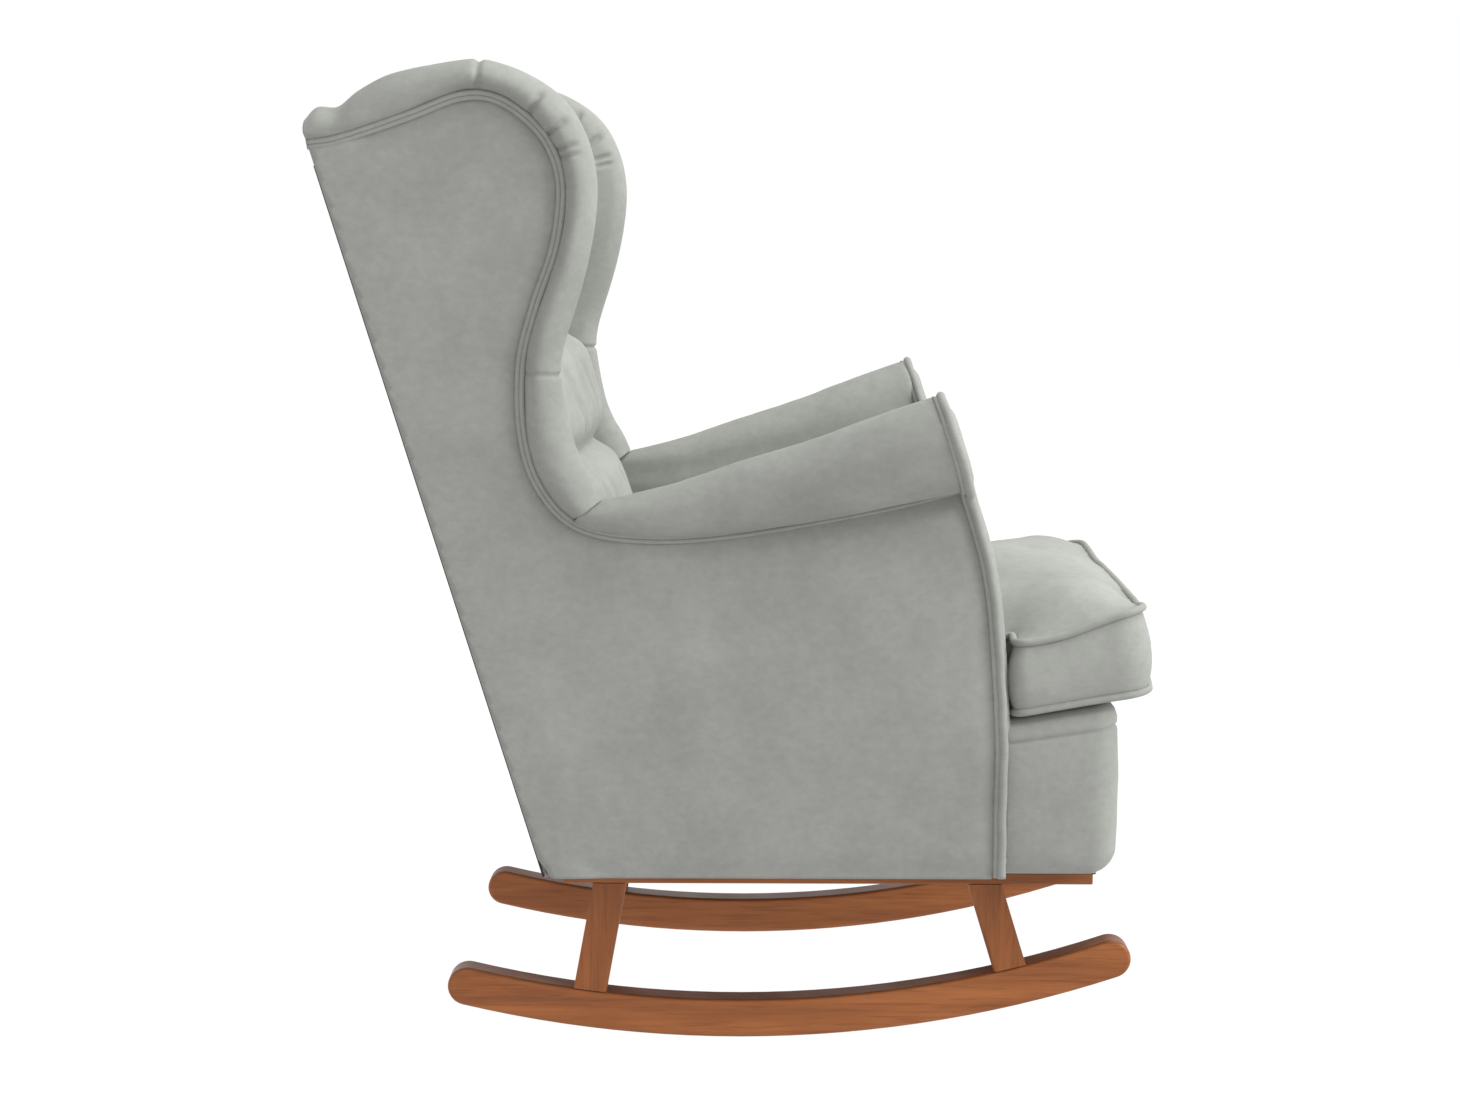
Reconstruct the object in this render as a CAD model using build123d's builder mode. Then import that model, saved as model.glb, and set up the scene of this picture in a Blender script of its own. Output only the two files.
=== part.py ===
"""Upholstered wing-back rocking chair: wooden rocker base, timber body frame, padding, covers
and a loose boxed seat cushion.

Units are millimetres. +X is the sitter's left, -Y is the front and +Z is up. The rockers touch
the floor at Z = 0, and the origin is the middle of the chair's footprint.
"""
import os
from math import asin, cos, radians, sin, tan

from build123d import *

os.makedirs("parts", exist_ok=True)

# ---------------------------------------------------------------- driving dimensions
sides = (("left", 1), ("right", -1))

# Wooden base
rocker_x = 210              # middle of each rocker board
rocker_thick = 33
rocker_depth = 40
rocker_radius = 1230        # radius of the rolling underside
rocker_low_y = 7            # where it touches the floor, under the chair's centre of mass
rocker_front_y = -381       # centre of the round front end
rocker_rear_y = 286
wood_edge = 4               # eased edges of the show wood
leg_width = 34
leg_axes = {"front": (-276, -249), "rear": (158, 137)}   # Y at the rocker, Y at the rail
tenon_r = 9
tenon_depth = 14
rail_bottom_z = 163
underside_z = 185           # bottom of the upholstered body
rail_front_y = -360
rail_rear_y = 185
cross_rail_y = (-215, 100)
cross_rail_width = 32

# Body widths, as distances from the middle plane
cushion_half = 260
pad_inner = 262             # inner face of the arm padding
wing_pad_inner = 250        # inner face of the wing padding
ply_inner = 272
ply_outer = 287
cover_outer = 297
wing_roll_inner = 258
wing_roll_outer = 310
frame_board = 25

# Slopes
back_lean = 17.1            # degrees from the vertical
back_foot_y = 198.2         # rear face at the underside
seat_pitch = 9              # degrees, front higher than rear
deck_y = -343               # a point on the deck under the front of the cushion
deck_z = 356

# Back, as distances forward from the rear face
cover_thick = 3
back_frame_depth = 90
back_webbing_front = 100
back_cushion_front = 165
back_height = 781           # along the slope

# Seat
front_face_y = -378         # front of the seat box
cushion_thick = 81
cushion_crown = 50
cushion_rear_y = 44
cushion_corner_y = -408     # front edge at the corners, and in the middle
cushion_middle_y = -427
ear_half = 286              # half width of the part in front of the arms
ear_rear_y = -272
cushion_front_corner = 30
cushion_rear_corner = 20
piping_r = 4
body_gap = 0.3

deck_stack = 24             # deck pad and webbing over the seat frame
dust_cover_thick = 1.5
frame_z = underside_z + dust_cover_thick

# Joints
hole_gap = 0.1              # around tenons and bolts
end_gap = 0.5               # at the bottom of a tenon's hole
stub_reach = 10             # stub tenons of the cross rails
stub_width = 20
stub_height = 12
bolt_r = 4
base_bolt_y = (-345, 107)
base_bolt_length = 60
base_head_r = 6.5
base_head_thick = 5
base_head_z = rail_bottom_z + 2
socket_r = 2.6              # hexagonal sockets
socket_depth = 3
base_bore_r = 7.5
base_bore_depth = 7
frame_bolt_y = (-232, 60)
frame_bolt_z = 215
frame_head_r = 7.5
frame_head_thick = 5
frame_bore_r = 8
frame_bore_depth = 6

# ---------------------------------------------------------------- reference planes and curves
back_plane = Plane(
    origin=(0, back_foot_y, underside_z),
    x_dir=(1, 0, 0),
    z_dir=(0, -cos(radians(back_lean)), sin(radians(back_lean))),
)
deck_plane = Plane(
    origin=(0, deck_y, deck_z),
    x_dir=(1, 0, 0),
    z_dir=(0, sin(radians(seat_pitch)), cos(radians(seat_pitch))),
)
back_forward = Axis(back_plane.origin, back_plane.z_dir)
rocker_arc_centre = (rocker_low_y, rocker_radius)


def rocker_point(y, depth):
    """Point in the YZ plane, at a depth inside the rocker from its rolling face."""
    radius = rocker_radius - depth
    angle = asin((y - rocker_low_y) / radius)
    return (y, rocker_radius - radius * cos(angle))


def back_y(z, depth):
    """Y of the plane at a distance forward from the rear face of the back, at height z."""
    return back_foot_y + (z - underside_z) * tan(radians(back_lean)) - depth / cos(radians(back_lean))


def deck_height(y, lift=0):
    """Z of the plane at a distance above the deck."""
    return deck_z - (y - deck_y) * tan(radians(seat_pitch)) + lift / cos(radians(seat_pitch))


# Edge of the side panel, where the roll begins: over the wing, down its front and along the arm
welt_points = [
    (418, 908), (345, 930), (272, 953), (214, 939), (176, 888), (170, 835), (196, 733),
    (213, 650), (188, 562), (129, 528), (41, 527), (-100, 551), (-221, 580),
]
# Outer edge of the wing's roll, from the top of the back to the arm
roll_points = [
    (427, 927), (415, 949), (360, 972), (310, 988), (256, 998), (203, 978), (160, 943),
    (142, 870), (152, 800), (178, 693), (165, 624), (143, 569),
]
welt_curve = Spline(welt_points)
roll_curve = Spline(roll_points)
# Share of the welt curve that belongs to the wing
wing_end = min(
    (step / 400 for step in range(401)),
    key=lambda u: (welt_curve @ u - Vector(152, 535)).length,
)
wing_welt_curve = welt_curve.trim(0, wing_end)


def side_outline(depth=0):
    """Side panel up to the welt, with its rear edge at a depth forward from the rear face."""
    with BuildLine() as outline:
        add(welt_curve)
        top_z = welt_points[0][1]
        Polyline(
            welt_points[0],
            (back_y(top_z, depth), top_z),
            (back_y(frame_z, depth), frame_z),
            (front_face_y, frame_z),
            (front_face_y, 560),
            welt_points[-1],
        )
    return make_face(outline.edges())


# Space in front of the arms: its rear wall is the back of the curved front panels
ply_face = side_outline(cover_thick)
cover_face = side_outline()

with BuildPart() as front_space:
    with BuildSketch(Plane.YZ):
        with BuildLine():
            Line((-258, 100), (-258, 340))
            Spline((-258, 340), (-246, 482), (-219, 581), (-188, 690), tangents=((0, 1), (0.27, 1)))
            Polyline((-188, 690), (-700, 690), (-700, 100), (-258, 100))
        make_face()
    extrude(amount=400, both=True)

# The same wall moved forward, for the front of the panels
panel_bulge = 10
panel_front_space = Pos(0, -panel_bulge, 0) * front_space.part
piping_front_space = Pos(0, -2 * piping_r, 0) * front_space.part

# ---------------------------------------------------------------- rocker base
rocker_mid_arc = ThreePointArc(
    rocker_point(rocker_front_y, rocker_depth / 2),
    rocker_point(rocker_low_y, rocker_depth / 2),
    rocker_point(rocker_rear_y, rocker_depth / 2),
)


def leg_ends(name, x):
    """Axis of a leg: its point on the rocker's top, its point under the rail, its direction."""
    foot_y, head_y = leg_axes[name]
    foot = Vector(x, *rocker_point(foot_y, rocker_depth))
    head = Vector(x, head_y, rail_bottom_z)
    return foot, head, (head - foot).normalized()


for side, sign in sides:
    x = sign * rocker_x

    with BuildPart() as rocker:
        with BuildSketch(Plane.YZ.offset(x)):
            SlotArc(rocker_mid_arc, rocker_depth)
        extrude(amount=rocker_thick / 2, both=True)
        fillet(rocker.faces().filter_by(Axis.X).edges(), wood_edge)
        for name in leg_axes:
            foot, head, up = leg_ends(name, x)
            with Locations(Plane(foot, z_dir=up).offset(2 * tenon_depth)):
                Cylinder(
                    tenon_r + hole_gap,
                    3 * tenon_depth + end_gap,
                    align=(Align.CENTER, Align.CENTER, Align.MAX),
                    mode=Mode.SUBTRACT,
                )
    rocker.part.label = f"rocker_{side}"
    export_step(rocker.part, f"parts/rocker_{side}.step")

    for name in leg_axes:
        foot, head, up = leg_ends(name, x)
        half = leg_width / 2 / up.Z
        with BuildPart() as leg:
            with BuildSketch(Plane.YZ.offset(x)):
                with BuildLine():
                    below = foot - up * 30
                    Polyline(
                        (below.Y - half, below.Z),
                        (below.Y + half, below.Z),
                        (head.Y + half, head.Z),
                        (head.Y - half, head.Z),
                        close=True,
                    )
                make_face()
                with Locations(rocker_arc_centre):
                    Circle(rocker_radius - rocker_depth, mode=Mode.INTERSECT)
            extrude(amount=rocker_thick / 2, both=True)
            fillet(leg.edges().group_by(SortBy.LENGTH)[-1], wood_edge)
            with Locations(Plane(foot, z_dir=-up).offset(-tenon_depth)):
                Cylinder(tenon_r, 2 * tenon_depth, align=(Align.CENTER, Align.CENTER, Align.MIN))
            with Locations(Plane(head, z_dir=up).offset(-tenon_depth)):
                Cylinder(tenon_r, 2 * tenon_depth, align=(Align.CENTER, Align.CENTER, Align.MIN))
        leg.part.label = f"leg_{name}_{side}"
        export_step(leg.part, f"parts/leg_{name}_{side}.step")

    with BuildPart() as side_rail:
        with BuildSketch(Plane.XY.offset(rail_bottom_z)):
            with Locations((x, (rail_front_y + rail_rear_y) / 2)):
                Rectangle(rocker_thick, rail_rear_y - rail_front_y)
        extrude(amount=underside_z - rail_bottom_z)
        fillet(side_rail.faces().sort_by(Axis.Z)[0].edges(), wood_edge / 2)
        for name in leg_axes:
            foot, head, up = leg_ends(name, x)
            with Locations(Plane(head, z_dir=up).offset(-tenon_depth)):
                Cylinder(
                    tenon_r + hole_gap,
                    2 * tenon_depth + end_gap,
                    align=(Align.CENTER, Align.CENTER, Align.MIN),
                    mode=Mode.SUBTRACT,
                )
        for y in cross_rail_y:
            with Locations((x - sign * rocker_thick / 2, y, (rail_bottom_z + underside_z) / 2)):
                Box(2 * stub_reach, stub_width, stub_height, mode=Mode.SUBTRACT)
        with Locations(*[(x, y, rail_bottom_z) for y in base_bolt_y]):
            Cylinder(bolt_r + hole_gap, 200, mode=Mode.SUBTRACT)
            Cylinder(base_bore_r, 2 * base_bore_depth, mode=Mode.SUBTRACT)
    side_rail.part.label = f"side_rail_{side}"
    export_step(side_rail.part, f"parts/side_rail_{side}.step")

for name, y in zip(("front", "rear"), cross_rail_y):
    rail_z = (rail_bottom_z + underside_z) / 2
    with BuildPart() as cross_rail:
        with Locations((0, y, rail_z)):
            Box(2 * rocker_x - rocker_thick, cross_rail_width, underside_z - rail_bottom_z)
        fillet(cross_rail.edges().filter_by(Axis.X), wood_edge / 2)
        with Locations((0, y, rail_z)):
            Box(2 * rocker_x - rocker_thick + 2 * stub_reach, stub_width, stub_height)
    cross_rail.part.label = f"cross_rail_{name}"
    export_step(cross_rail.part, f"parts/cross_rail_{name}.step")

bolt_places = [(sign * rocker_x, y, base_head_z) for side, sign in sides for y in base_bolt_y]
with BuildPart() as base_bolts:
    with Locations(*bolt_places):
        Cylinder(base_head_r, base_head_thick, align=(Align.CENTER, Align.CENTER, Align.MIN))
        Cylinder(bolt_r, base_bolt_length, align=(Align.CENTER, Align.CENTER, Align.MIN))
        with BuildSketch(Plane.XY.offset(base_head_z)):
            with Locations(*[(x, y) for x, y, z in bolt_places]):
                RegularPolygon(socket_r, 6)
        extrude(amount=socket_depth, mode=Mode.SUBTRACT)
base_bolts.part.label = "base_bolts"
export_step(base_bolts.part, "parts/base_bolts.step")

# ---------------------------------------------------------------- seat frame
strap_width = 48
strap_thick = 2
frame_front_y = front_face_y + 20
board_front_y = frame_front_y + frame_board
rear_board_y = (95, 120)
block_leg = 55
block_lift = 20
block_height = 30


def base_bolt_holes():
    """Clearance for the bolts that hold the base to the seat frame."""
    with Locations(*bolt_places):
        Cylinder(bolt_r + hole_gap, 130, mode=Mode.SUBTRACT)


for name, (y0, y1), half in (
    ("front", (frame_front_y, board_front_y), ply_inner),
    ("rear", rear_board_y, ply_inner - frame_board),
):
    with BuildPart() as board:
        with BuildSketch(Plane.YZ):
            with BuildLine():
                Polyline(
                    (y0, frame_z),
                    (y1, frame_z),
                    (y1, deck_height(y1, -deck_stack)),
                    (y0, deck_height(y0, -deck_stack)),
                    close=True,
                )
            make_face()
        extrude(amount=half, both=True)
        base_bolt_holes()
    board.part.label = f"seat_frame_{name}"
    export_step(board.part, f"parts/seat_frame_{name}.step")

for side, sign in sides:
    with BuildPart() as board:
        with BuildSketch(Plane.YZ.offset(sign * (ply_inner - frame_board))):
            with BuildLine():
                post_front = back_webbing_front - 2 * strap_thick
                rear_z = deck_height(back_y(250, post_front), -deck_stack)
                Polyline(
                    (board_front_y, frame_z),
                    (back_y(frame_z, post_front), frame_z),
                    (back_y(rear_z, post_front), rear_z),
                    (board_front_y, deck_height(board_front_y, -deck_stack)),
                    close=True,
                )
            make_face()
        extrude(amount=sign * frame_board)
        with BuildSketch(Plane.YZ.offset(sign * (ply_inner - frame_board))):
            with Locations(*[(y, frame_bolt_z) for y in frame_bolt_y]):
                Circle(bolt_r + hole_gap)
        extrude(amount=sign * frame_board, mode=Mode.SUBTRACT)
    board.part.label = f"seat_frame_{side}"
    export_step(board.part, f"parts/seat_frame_{side}.step")

inner_half = ply_inner - frame_board
with BuildPart() as corner_blocks:
    with BuildSketch(Plane.XY.offset(frame_z + block_lift)):
        for side, sign in sides:
            for y, way in ((board_front_y, 1), (rear_board_y[0], -1)):
                corner = Vector(sign * inner_half, y)
                with BuildLine():
                    Polyline(
                        corner,
                        corner + Vector(-sign * block_leg, 0),
                        corner + Vector(0, way * block_leg),
                        close=True,
                    )
                make_face()
    extrude(amount=block_height)
corner_blocks.part.label = "corner_blocks"
export_step(corner_blocks.part, "parts/corner_blocks.step")

# ---------------------------------------------------------------- seat suspension and deck
deck_front = -10.5
deck_rear = 395
straps_lengthwise = (-160, -80, 0, 80, 160)
straps_across = (30, 105, 180, 255, 330)
with BuildPart() as seat_webbing:
    with BuildSketch(deck_plane.offset(-deck_stack)):
        with Locations(*[(x, (deck_front + deck_rear) / 2) for x in straps_lengthwise]):
            Rectangle(strap_width, deck_rear - deck_front)
    extrude(amount=strap_thick)
    with BuildSketch(deck_plane.offset(strap_thick - deck_stack)):
        with Locations(*[(0, v) for v in straps_across]):
            Rectangle(2 * ply_inner - 4, strap_width)
    extrude(amount=strap_thick)
seat_webbing.part.label = "seat_webbing"
export_step(seat_webbing.part, "parts/seat_webbing.step")

with BuildPart() as seat_deck_pad:
    with BuildSketch(deck_plane.offset(2 * strap_thick - deck_stack)):
        with Locations((0, (deck_front + deck_rear) / 2)):
            Rectangle(2 * pad_inner - 2, deck_rear - deck_front)
    extrude(amount=deck_stack - 2 * strap_thick)
seat_deck_pad.part.label = "seat_deck_pad"
export_step(seat_deck_pad.part, "parts/seat_deck_pad.step")

with BuildPart() as dust_cover:
    with BuildSketch(Plane.XY.offset(underside_z)):
        with Locations((0, (frame_front_y + rail_rear_y) / 2)):
            Rectangle(2 * ply_inner - 2, rail_rear_y - frame_front_y - 1)
    extrude(amount=dust_cover_thick)
    base_bolt_holes()
dust_cover.part.label = "dust_cover"
export_step(dust_cover.part, "parts/dust_cover.step")

# ---------------------------------------------------------------- sides: arms and wings
split_z = 600               # where the arm panel and the wing panel meet
roll_sections = (           # Y, distance from the middle, Z, radius
    (140, 296, 548, 20),
    (80, 303, 554, 28.5),
    (0, 313, 570, 38.5),
    (-90, 319, 594, 44),
    (-235, 322, 636, 46.5),
)
panel_head = (322, 624)
panel_head_r = 48
pad_low_z = 258
pad_rear = back_webbing_front + 2
welt_width = 13
welt_rise = 4
wing_roll_edge = 16


def panel_outline(sign, grow=0):
    """Front view of an arm panel: a straight stem with a scroll at its top."""
    x0 = pad_inner - grow
    x1 = cover_outer + grow
    cx, cz = panel_head
    r = panel_head_r + grow
    with BuildLine() as outline:
        Line((sign * x1, underside_z), (sign * x0, underside_z))
        Line((sign * x0, underside_z), (sign * x0, cz - 14))
        ThreePointArc((sign * x0, cz - 14), (sign * (cx - 0.84 * r), cz + 0.62 * r), (sign * cx, cz + r))
        ThreePointArc((sign * cx, cz + r), (sign * (cx + r), cz), (sign * cx, cz - r))
        ThreePointArc(
            (sign * cx, cz - r),
            (sign * (x1 + 8), cz - r - 8),
            (sign * x1, cz - r - 26),
        )
        Line((sign * x1, cz - r - 26), (sign * x1, underside_z))
    return make_face(outline.edges())


with BuildPart() as seat_space:
    with BuildSketch(Plane.YZ):
        with BuildLine():
            Polyline(
                (front_face_y, 100),
                (0, 100),
                (0, deck_height(0, body_gap)),
                (front_face_y, deck_height(front_face_y, body_gap)),
                close=True,
            )
        make_face()
    extrude(amount=ply_inner + 0.5, both=True)

for side, sign in sides:
    ply_plane = Plane.YZ.offset(sign * ply_inner)
    panel_face = panel_outline(sign)
    piping_face = panel_outline(sign, piping_r)

    for name, low, high in (("arm", 0, split_z), ("wing", split_z, 1200)):
        with BuildPart() as frame_panel:
            with BuildSketch(ply_plane):
                add(ply_face)
                with Locations((0, (low + high) / 2)):
                    Rectangle(1600, high - low, mode=Mode.INTERSECT)
            extrude(amount=sign * (ply_outer - ply_inner))
            add(front_space.part, mode=Mode.SUBTRACT)
            if name == "arm":
                with BuildSketch(ply_plane):
                    with Locations(*[(y, frame_bolt_z) for y in frame_bolt_y]):
                        Circle(bolt_r + hole_gap)
                extrude(amount=sign * frame_board, mode=Mode.SUBTRACT)
                with BuildSketch(Plane.YZ.offset(sign * ply_outer)):
                    with Locations(*[(y, frame_bolt_z) for y in frame_bolt_y]):
                        Circle(frame_bore_r)
                extrude(amount=-sign * frame_bore_depth, mode=Mode.SUBTRACT)
        frame_panel.part.label = f"{name}_frame_{side}"
        export_step(frame_panel.part, f"parts/{name}_frame_{side}.step")

    with BuildPart() as arm_inner_pad:
        with BuildSketch(Plane.YZ.offset(sign * pad_inner)):
            with BuildLine():
                Polyline(
                    (front_face_y, deck_height(front_face_y)),
                    (back_y(pad_low_z, pad_rear), deck_height(back_y(pad_low_z, pad_rear))),
                    (back_y(520, pad_rear), 520),
                    (150, 522),
                    (138, 548),
                    (0, 570),
                    (-235, 632),
                    (front_face_y, 632),
                    close=True,
                )
            make_face()
        extrude(amount=sign * (ply_inner - pad_inner))
        add(front_space.part, mode=Mode.SUBTRACT)
    arm_inner_pad.part.label = f"arm_inner_pad_{side}"
    export_step(arm_inner_pad.part, f"parts/arm_inner_pad_{side}.step")

    with BuildPart() as wing_inner_pad:
        with BuildSketch(Plane.YZ.offset(sign * wing_pad_inner)):
            add(cover_face)
            with BuildLine():
                Polyline(
                    (back_y(560, back_webbing_front), 560),
                    (back_y(1100, back_webbing_front), 1100),
                    (-100, 1100),
                    (-100, 560),
                    close=True,
                )
            make_face(mode=Mode.INTERSECT)
        extrude(amount=sign * (ply_inner - wing_pad_inner))
    wing_inner_pad.part.label = f"wing_inner_pad_{side}"
    export_step(wing_inner_pad.part, f"parts/wing_inner_pad_{side}.step")

    with BuildPart() as arm_roll:
        for y, x, z, radius in roll_sections:
            with BuildSketch(Plane.XZ.offset(-y)):
                with Locations((sign * x, z)):
                    Circle(radius)
        loft()
        add(front_space.part, mode=Mode.SUBTRACT)
    arm_roll.part.label = f"arm_roll_{side}"
    export_step(arm_roll.part, f"parts/arm_roll_{side}.step")

    with BuildPart() as wing_roll:
        with BuildSketch(Plane.YZ.offset(sign * wing_roll_inner)):
            with BuildLine():
                add(roll_curve)
                add(wing_welt_curve)
                Line(roll_curve @ 0, wing_welt_curve @ 0)
                Line(roll_curve @ 1, wing_welt_curve @ 1)
            make_face()
        extrude(amount=sign * (wing_roll_outer - wing_roll_inner))
        outer_edges = wing_roll.edges().filter_by(lambda e: e.length > 500).sort_by(SortBy.LENGTH)
        fillet(outer_edges[-2:], wing_roll_edge)
    wing_roll.part.label = f"wing_roll_{side}"
    export_step(wing_roll.part, f"parts/wing_roll_{side}.step")

    with BuildPart() as side_cover:
        with BuildSketch(Plane.YZ.offset(sign * ply_outer)):
            add(cover_face)
        extrude(amount=sign * (cover_outer - ply_outer))
        add(front_space.part, mode=Mode.SUBTRACT)
        add(arm_roll.part, mode=Mode.SUBTRACT)
    side_cover.part.label = f"side_cover_{side}"
    export_step(side_cover.part, f"parts/side_cover_{side}.step")

    with BuildPart() as side_welt:
        with BuildSketch(Plane.YZ.offset(sign * cover_outer)):
            with BuildLine():
                add(welt_curve)
                inner = Spline([
                    welt_curve @ u + Vector(-(welt_curve % u).Y, (welt_curve % u).X) * welt_width
                    for u in (step / 20 for step in range(21))
                ])
                Line(welt_curve @ 0, inner @ 0)
                Line(welt_curve @ 1, inner @ 1)
            make_face()
        extrude(amount=sign * welt_rise)
        add(front_space.part, mode=Mode.SUBTRACT)
        add(arm_roll.part, mode=Mode.SUBTRACT)
    side_welt.part.label = f"side_welt_{side}"
    export_step(side_welt.part, f"parts/side_welt_{side}.step")

    with BuildPart() as arm_front_panel:
        with BuildSketch(Plane.XZ.offset(100)):
            add(panel_face)
        extrude(amount=300)
        add(front_space.part, mode=Mode.INTERSECT)
        add(panel_front_space, mode=Mode.SUBTRACT)
        add(seat_space.part, mode=Mode.SUBTRACT)
    arm_front_panel.part.label = f"arm_front_panel_{side}"
    export_step(arm_front_panel.part, f"parts/arm_front_panel_{side}.step")

    with BuildPart() as arm_panel_piping:
        with BuildSketch(Plane.XZ.offset(100)):
            add(piping_face)
            add(panel_face, mode=Mode.SUBTRACT)
        extrude(amount=300)
        add(front_space.part, mode=Mode.INTERSECT)
        add(piping_front_space, mode=Mode.SUBTRACT)
        Box(2 * pad_inner + 1, 2000, 2000, mode=Mode.SUBTRACT)
    arm_panel_piping.part.label = f"arm_panel_piping_{side}"
    export_step(arm_panel_piping.part, f"parts/arm_panel_piping_{side}.step")

with BuildPart() as frame_bolts:
    for side, sign in sides:
        with BuildSketch(Plane.YZ.offset(sign * (ply_outer - frame_bore_depth))):
            with Locations(*[(y, frame_bolt_z) for y in frame_bolt_y]):
                Circle(frame_head_r)
        extrude(amount=sign * frame_head_thick)
        with BuildSketch(Plane.YZ.offset(sign * (ply_inner - frame_board))):
            with Locations(*[(y, frame_bolt_z) for y in frame_bolt_y]):
                Circle(bolt_r)
        extrude(amount=sign * (frame_board + 10))
frame_bolts.part.label = "frame_bolts"
export_step(frame_bolts.part, "parts/frame_bolts.step")

# ---------------------------------------------------------------- back
post_width = frame_board
post_rear = cover_thick + 2
post_top = 731
tack_low = 2
tack_high = post_top + 12
tack_width = 9
tack_thick = 1.6

for side, sign in sides:
    with BuildPart() as back_post:
        with BuildSketch(Plane.YZ.offset(sign * (ply_inner - post_width))):
            with BuildLine():
                top_z = underside_z + post_top * cos(radians(back_lean))
                front = post_rear + back_frame_depth
                Polyline(
                    (back_y(frame_z, post_rear), frame_z),
                    (back_y(frame_z, front), frame_z),
                    (back_y(top_z, front), top_z),
                    (back_y(top_z, post_rear), top_z),
                    close=True,
                )
            make_face()
        extrude(amount=sign * post_width)
    back_post.part.label = f"back_post_{side}"
    export_step(back_post.part, f"parts/back_post_{side}.step")

    with BuildPart() as rear_tack_strip:
        with BuildSketch(back_plane):
            with Locations((sign * (cover_outer - 5), (tack_low + tack_high) / 2)):
                Rectangle(tack_width, tack_high - tack_low)
        extrude(amount=-tack_thick)
    rear_tack_strip.part.label = f"rear_tack_strip_{side}"
    export_step(rear_tack_strip.part, f"parts/rear_tack_strip_{side}.step")

rail_half = ply_inner - post_width
for name, low, high in (("bottom", 10, 75), ("top", post_top - 70, post_top)):
    with BuildPart() as back_rail:
        with BuildSketch(back_plane.offset(post_rear)):
            with Locations((0, (low + high) / 2)):
                Rectangle(2 * rail_half, high - low)
        extrude(amount=frame_board)
    back_rail.part.label = f"back_{name}_rail"
    export_step(back_rail.part, f"parts/back_{name}_rail.step")

back_straps_across = (170, 255, 340, 425, 510, 595, 680)
back_straps_upright = (-150, -50, 50, 150)
with BuildPart() as back_webbing:
    with BuildSketch(back_plane.offset(post_rear + back_frame_depth)):
        with Locations(*[(0, s) for s in back_straps_across]):
            Rectangle(2 * ply_inner - 4, strap_width)
    extrude(amount=strap_thick)
    with BuildSketch(back_plane.offset(post_rear + back_frame_depth + strap_thick)):
        with Locations(*[(x, back_straps_across[3]) for x in back_straps_upright]):
            Rectangle(strap_width, 560)
    extrude(amount=strap_thick)
back_webbing.part.label = "back_webbing"
export_step(back_webbing.part, "parts/back_webbing.step")

back_cushion_low = 120
back_cushion_corner = 12
back_cushion_edge = 11
with BuildPart() as back_cushion:
    with BuildSketch(back_plane.offset(back_webbing_front)):
        with Locations((0, (back_cushion_low + post_top) / 2)):
            RectangleRounded(2 * wing_pad_inner - 2, post_top - back_cushion_low, back_cushion_corner)
    extrude(amount=back_cushion_front - back_webbing_front)
    fillet(back_cushion.faces().sort_by(back_forward)[-1].edges(), back_cushion_edge)
back_cushion.part.label = "back_cushion"
export_step(back_cushion.part, "parts/back_cushion.step")

tuft_rise = 130
tuft_step = 120
tuft_first = 257
button_r = 11
button_height = 5
button_edge = 2
tufts = [
    (tuft_step * (column - 1.5 + 0.5 * (row % 2)), tuft_first + tuft_rise * row)
    for row in range(4)
    for column in range(4 - row % 2)
]
with BuildPart() as back_buttons:
    with BuildSketch(back_plane.offset(back_cushion_front)):
        with Locations(*tufts):
            Circle(button_r)
    extrude(amount=button_height)
    fillet(back_buttons.faces().filter_by(back_plane).group_by(back_forward)[-1].edges(), button_edge)
back_buttons.part.label = "back_buttons"
export_step(back_buttons.part, "parts/back_buttons.step")

with BuildPart() as back_top_roll:
    with BuildSketch(Plane.YZ.offset(1 - wing_pad_inner)):
        with BuildLine():
            roll_low = post_top + 1
            corners = [(roll_low, cover_thick), (roll_low, 150), (back_height - 12, 120),
                       (back_height, 60), (back_height - 8, 14), (roll_low + 20, cover_thick - 4)]
            places = [tuple(back_plane.from_local_coords((0, s, t)))[1:] for s, t in corners]
            Line(places[5], places[0])
            Line(places[0], places[1])
            Spline(places[1:])
        make_face()
    extrude(amount=2 * wing_pad_inner - 2)
back_top_roll.part.label = "back_top_roll"
export_step(back_top_roll.part, "parts/back_top_roll.step")

with BuildPart() as rear_cover:
    with BuildSketch(back_plane):
        with Locations((0, (2 + post_top) / 2)):
            Rectangle(2 * ply_outer, post_top - 2)
    extrude(amount=cover_thick)
rear_cover.part.label = "rear_cover"
export_step(rear_cover.part, "parts/rear_cover.step")

# ---------------------------------------------------------------- seat front and loose cushion
border_corner = 28
border_rear_y = -271
border_foot_r = 8
with BuildPart() as front_border:
    with BuildSketch(Plane.XY.offset(underside_z)) as border_plan:
        with Locations((0, (front_face_y + border_rear_y) / 2)):
            Rectangle(2 * ply_outer, border_rear_y - front_face_y)
        fillet(border_plan.vertices().group_by(Axis.Y)[0], border_corner)
        with Locations((0, (frame_front_y + border_rear_y) / 2)):
            Rectangle(2 * ply_inner, border_rear_y - frame_front_y, mode=Mode.SUBTRACT)
    extrude(amount=300)
    split(bisect_by=deck_plane, keep=Keep.BOTTOM)
    fillet(front_border.faces().sort_by(Axis.Z)[0].edges().group_by(Axis.Y)[0], border_foot_r)
front_border.part.label = "front_border"
export_step(front_border.part, "parts/front_border.step")

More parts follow.
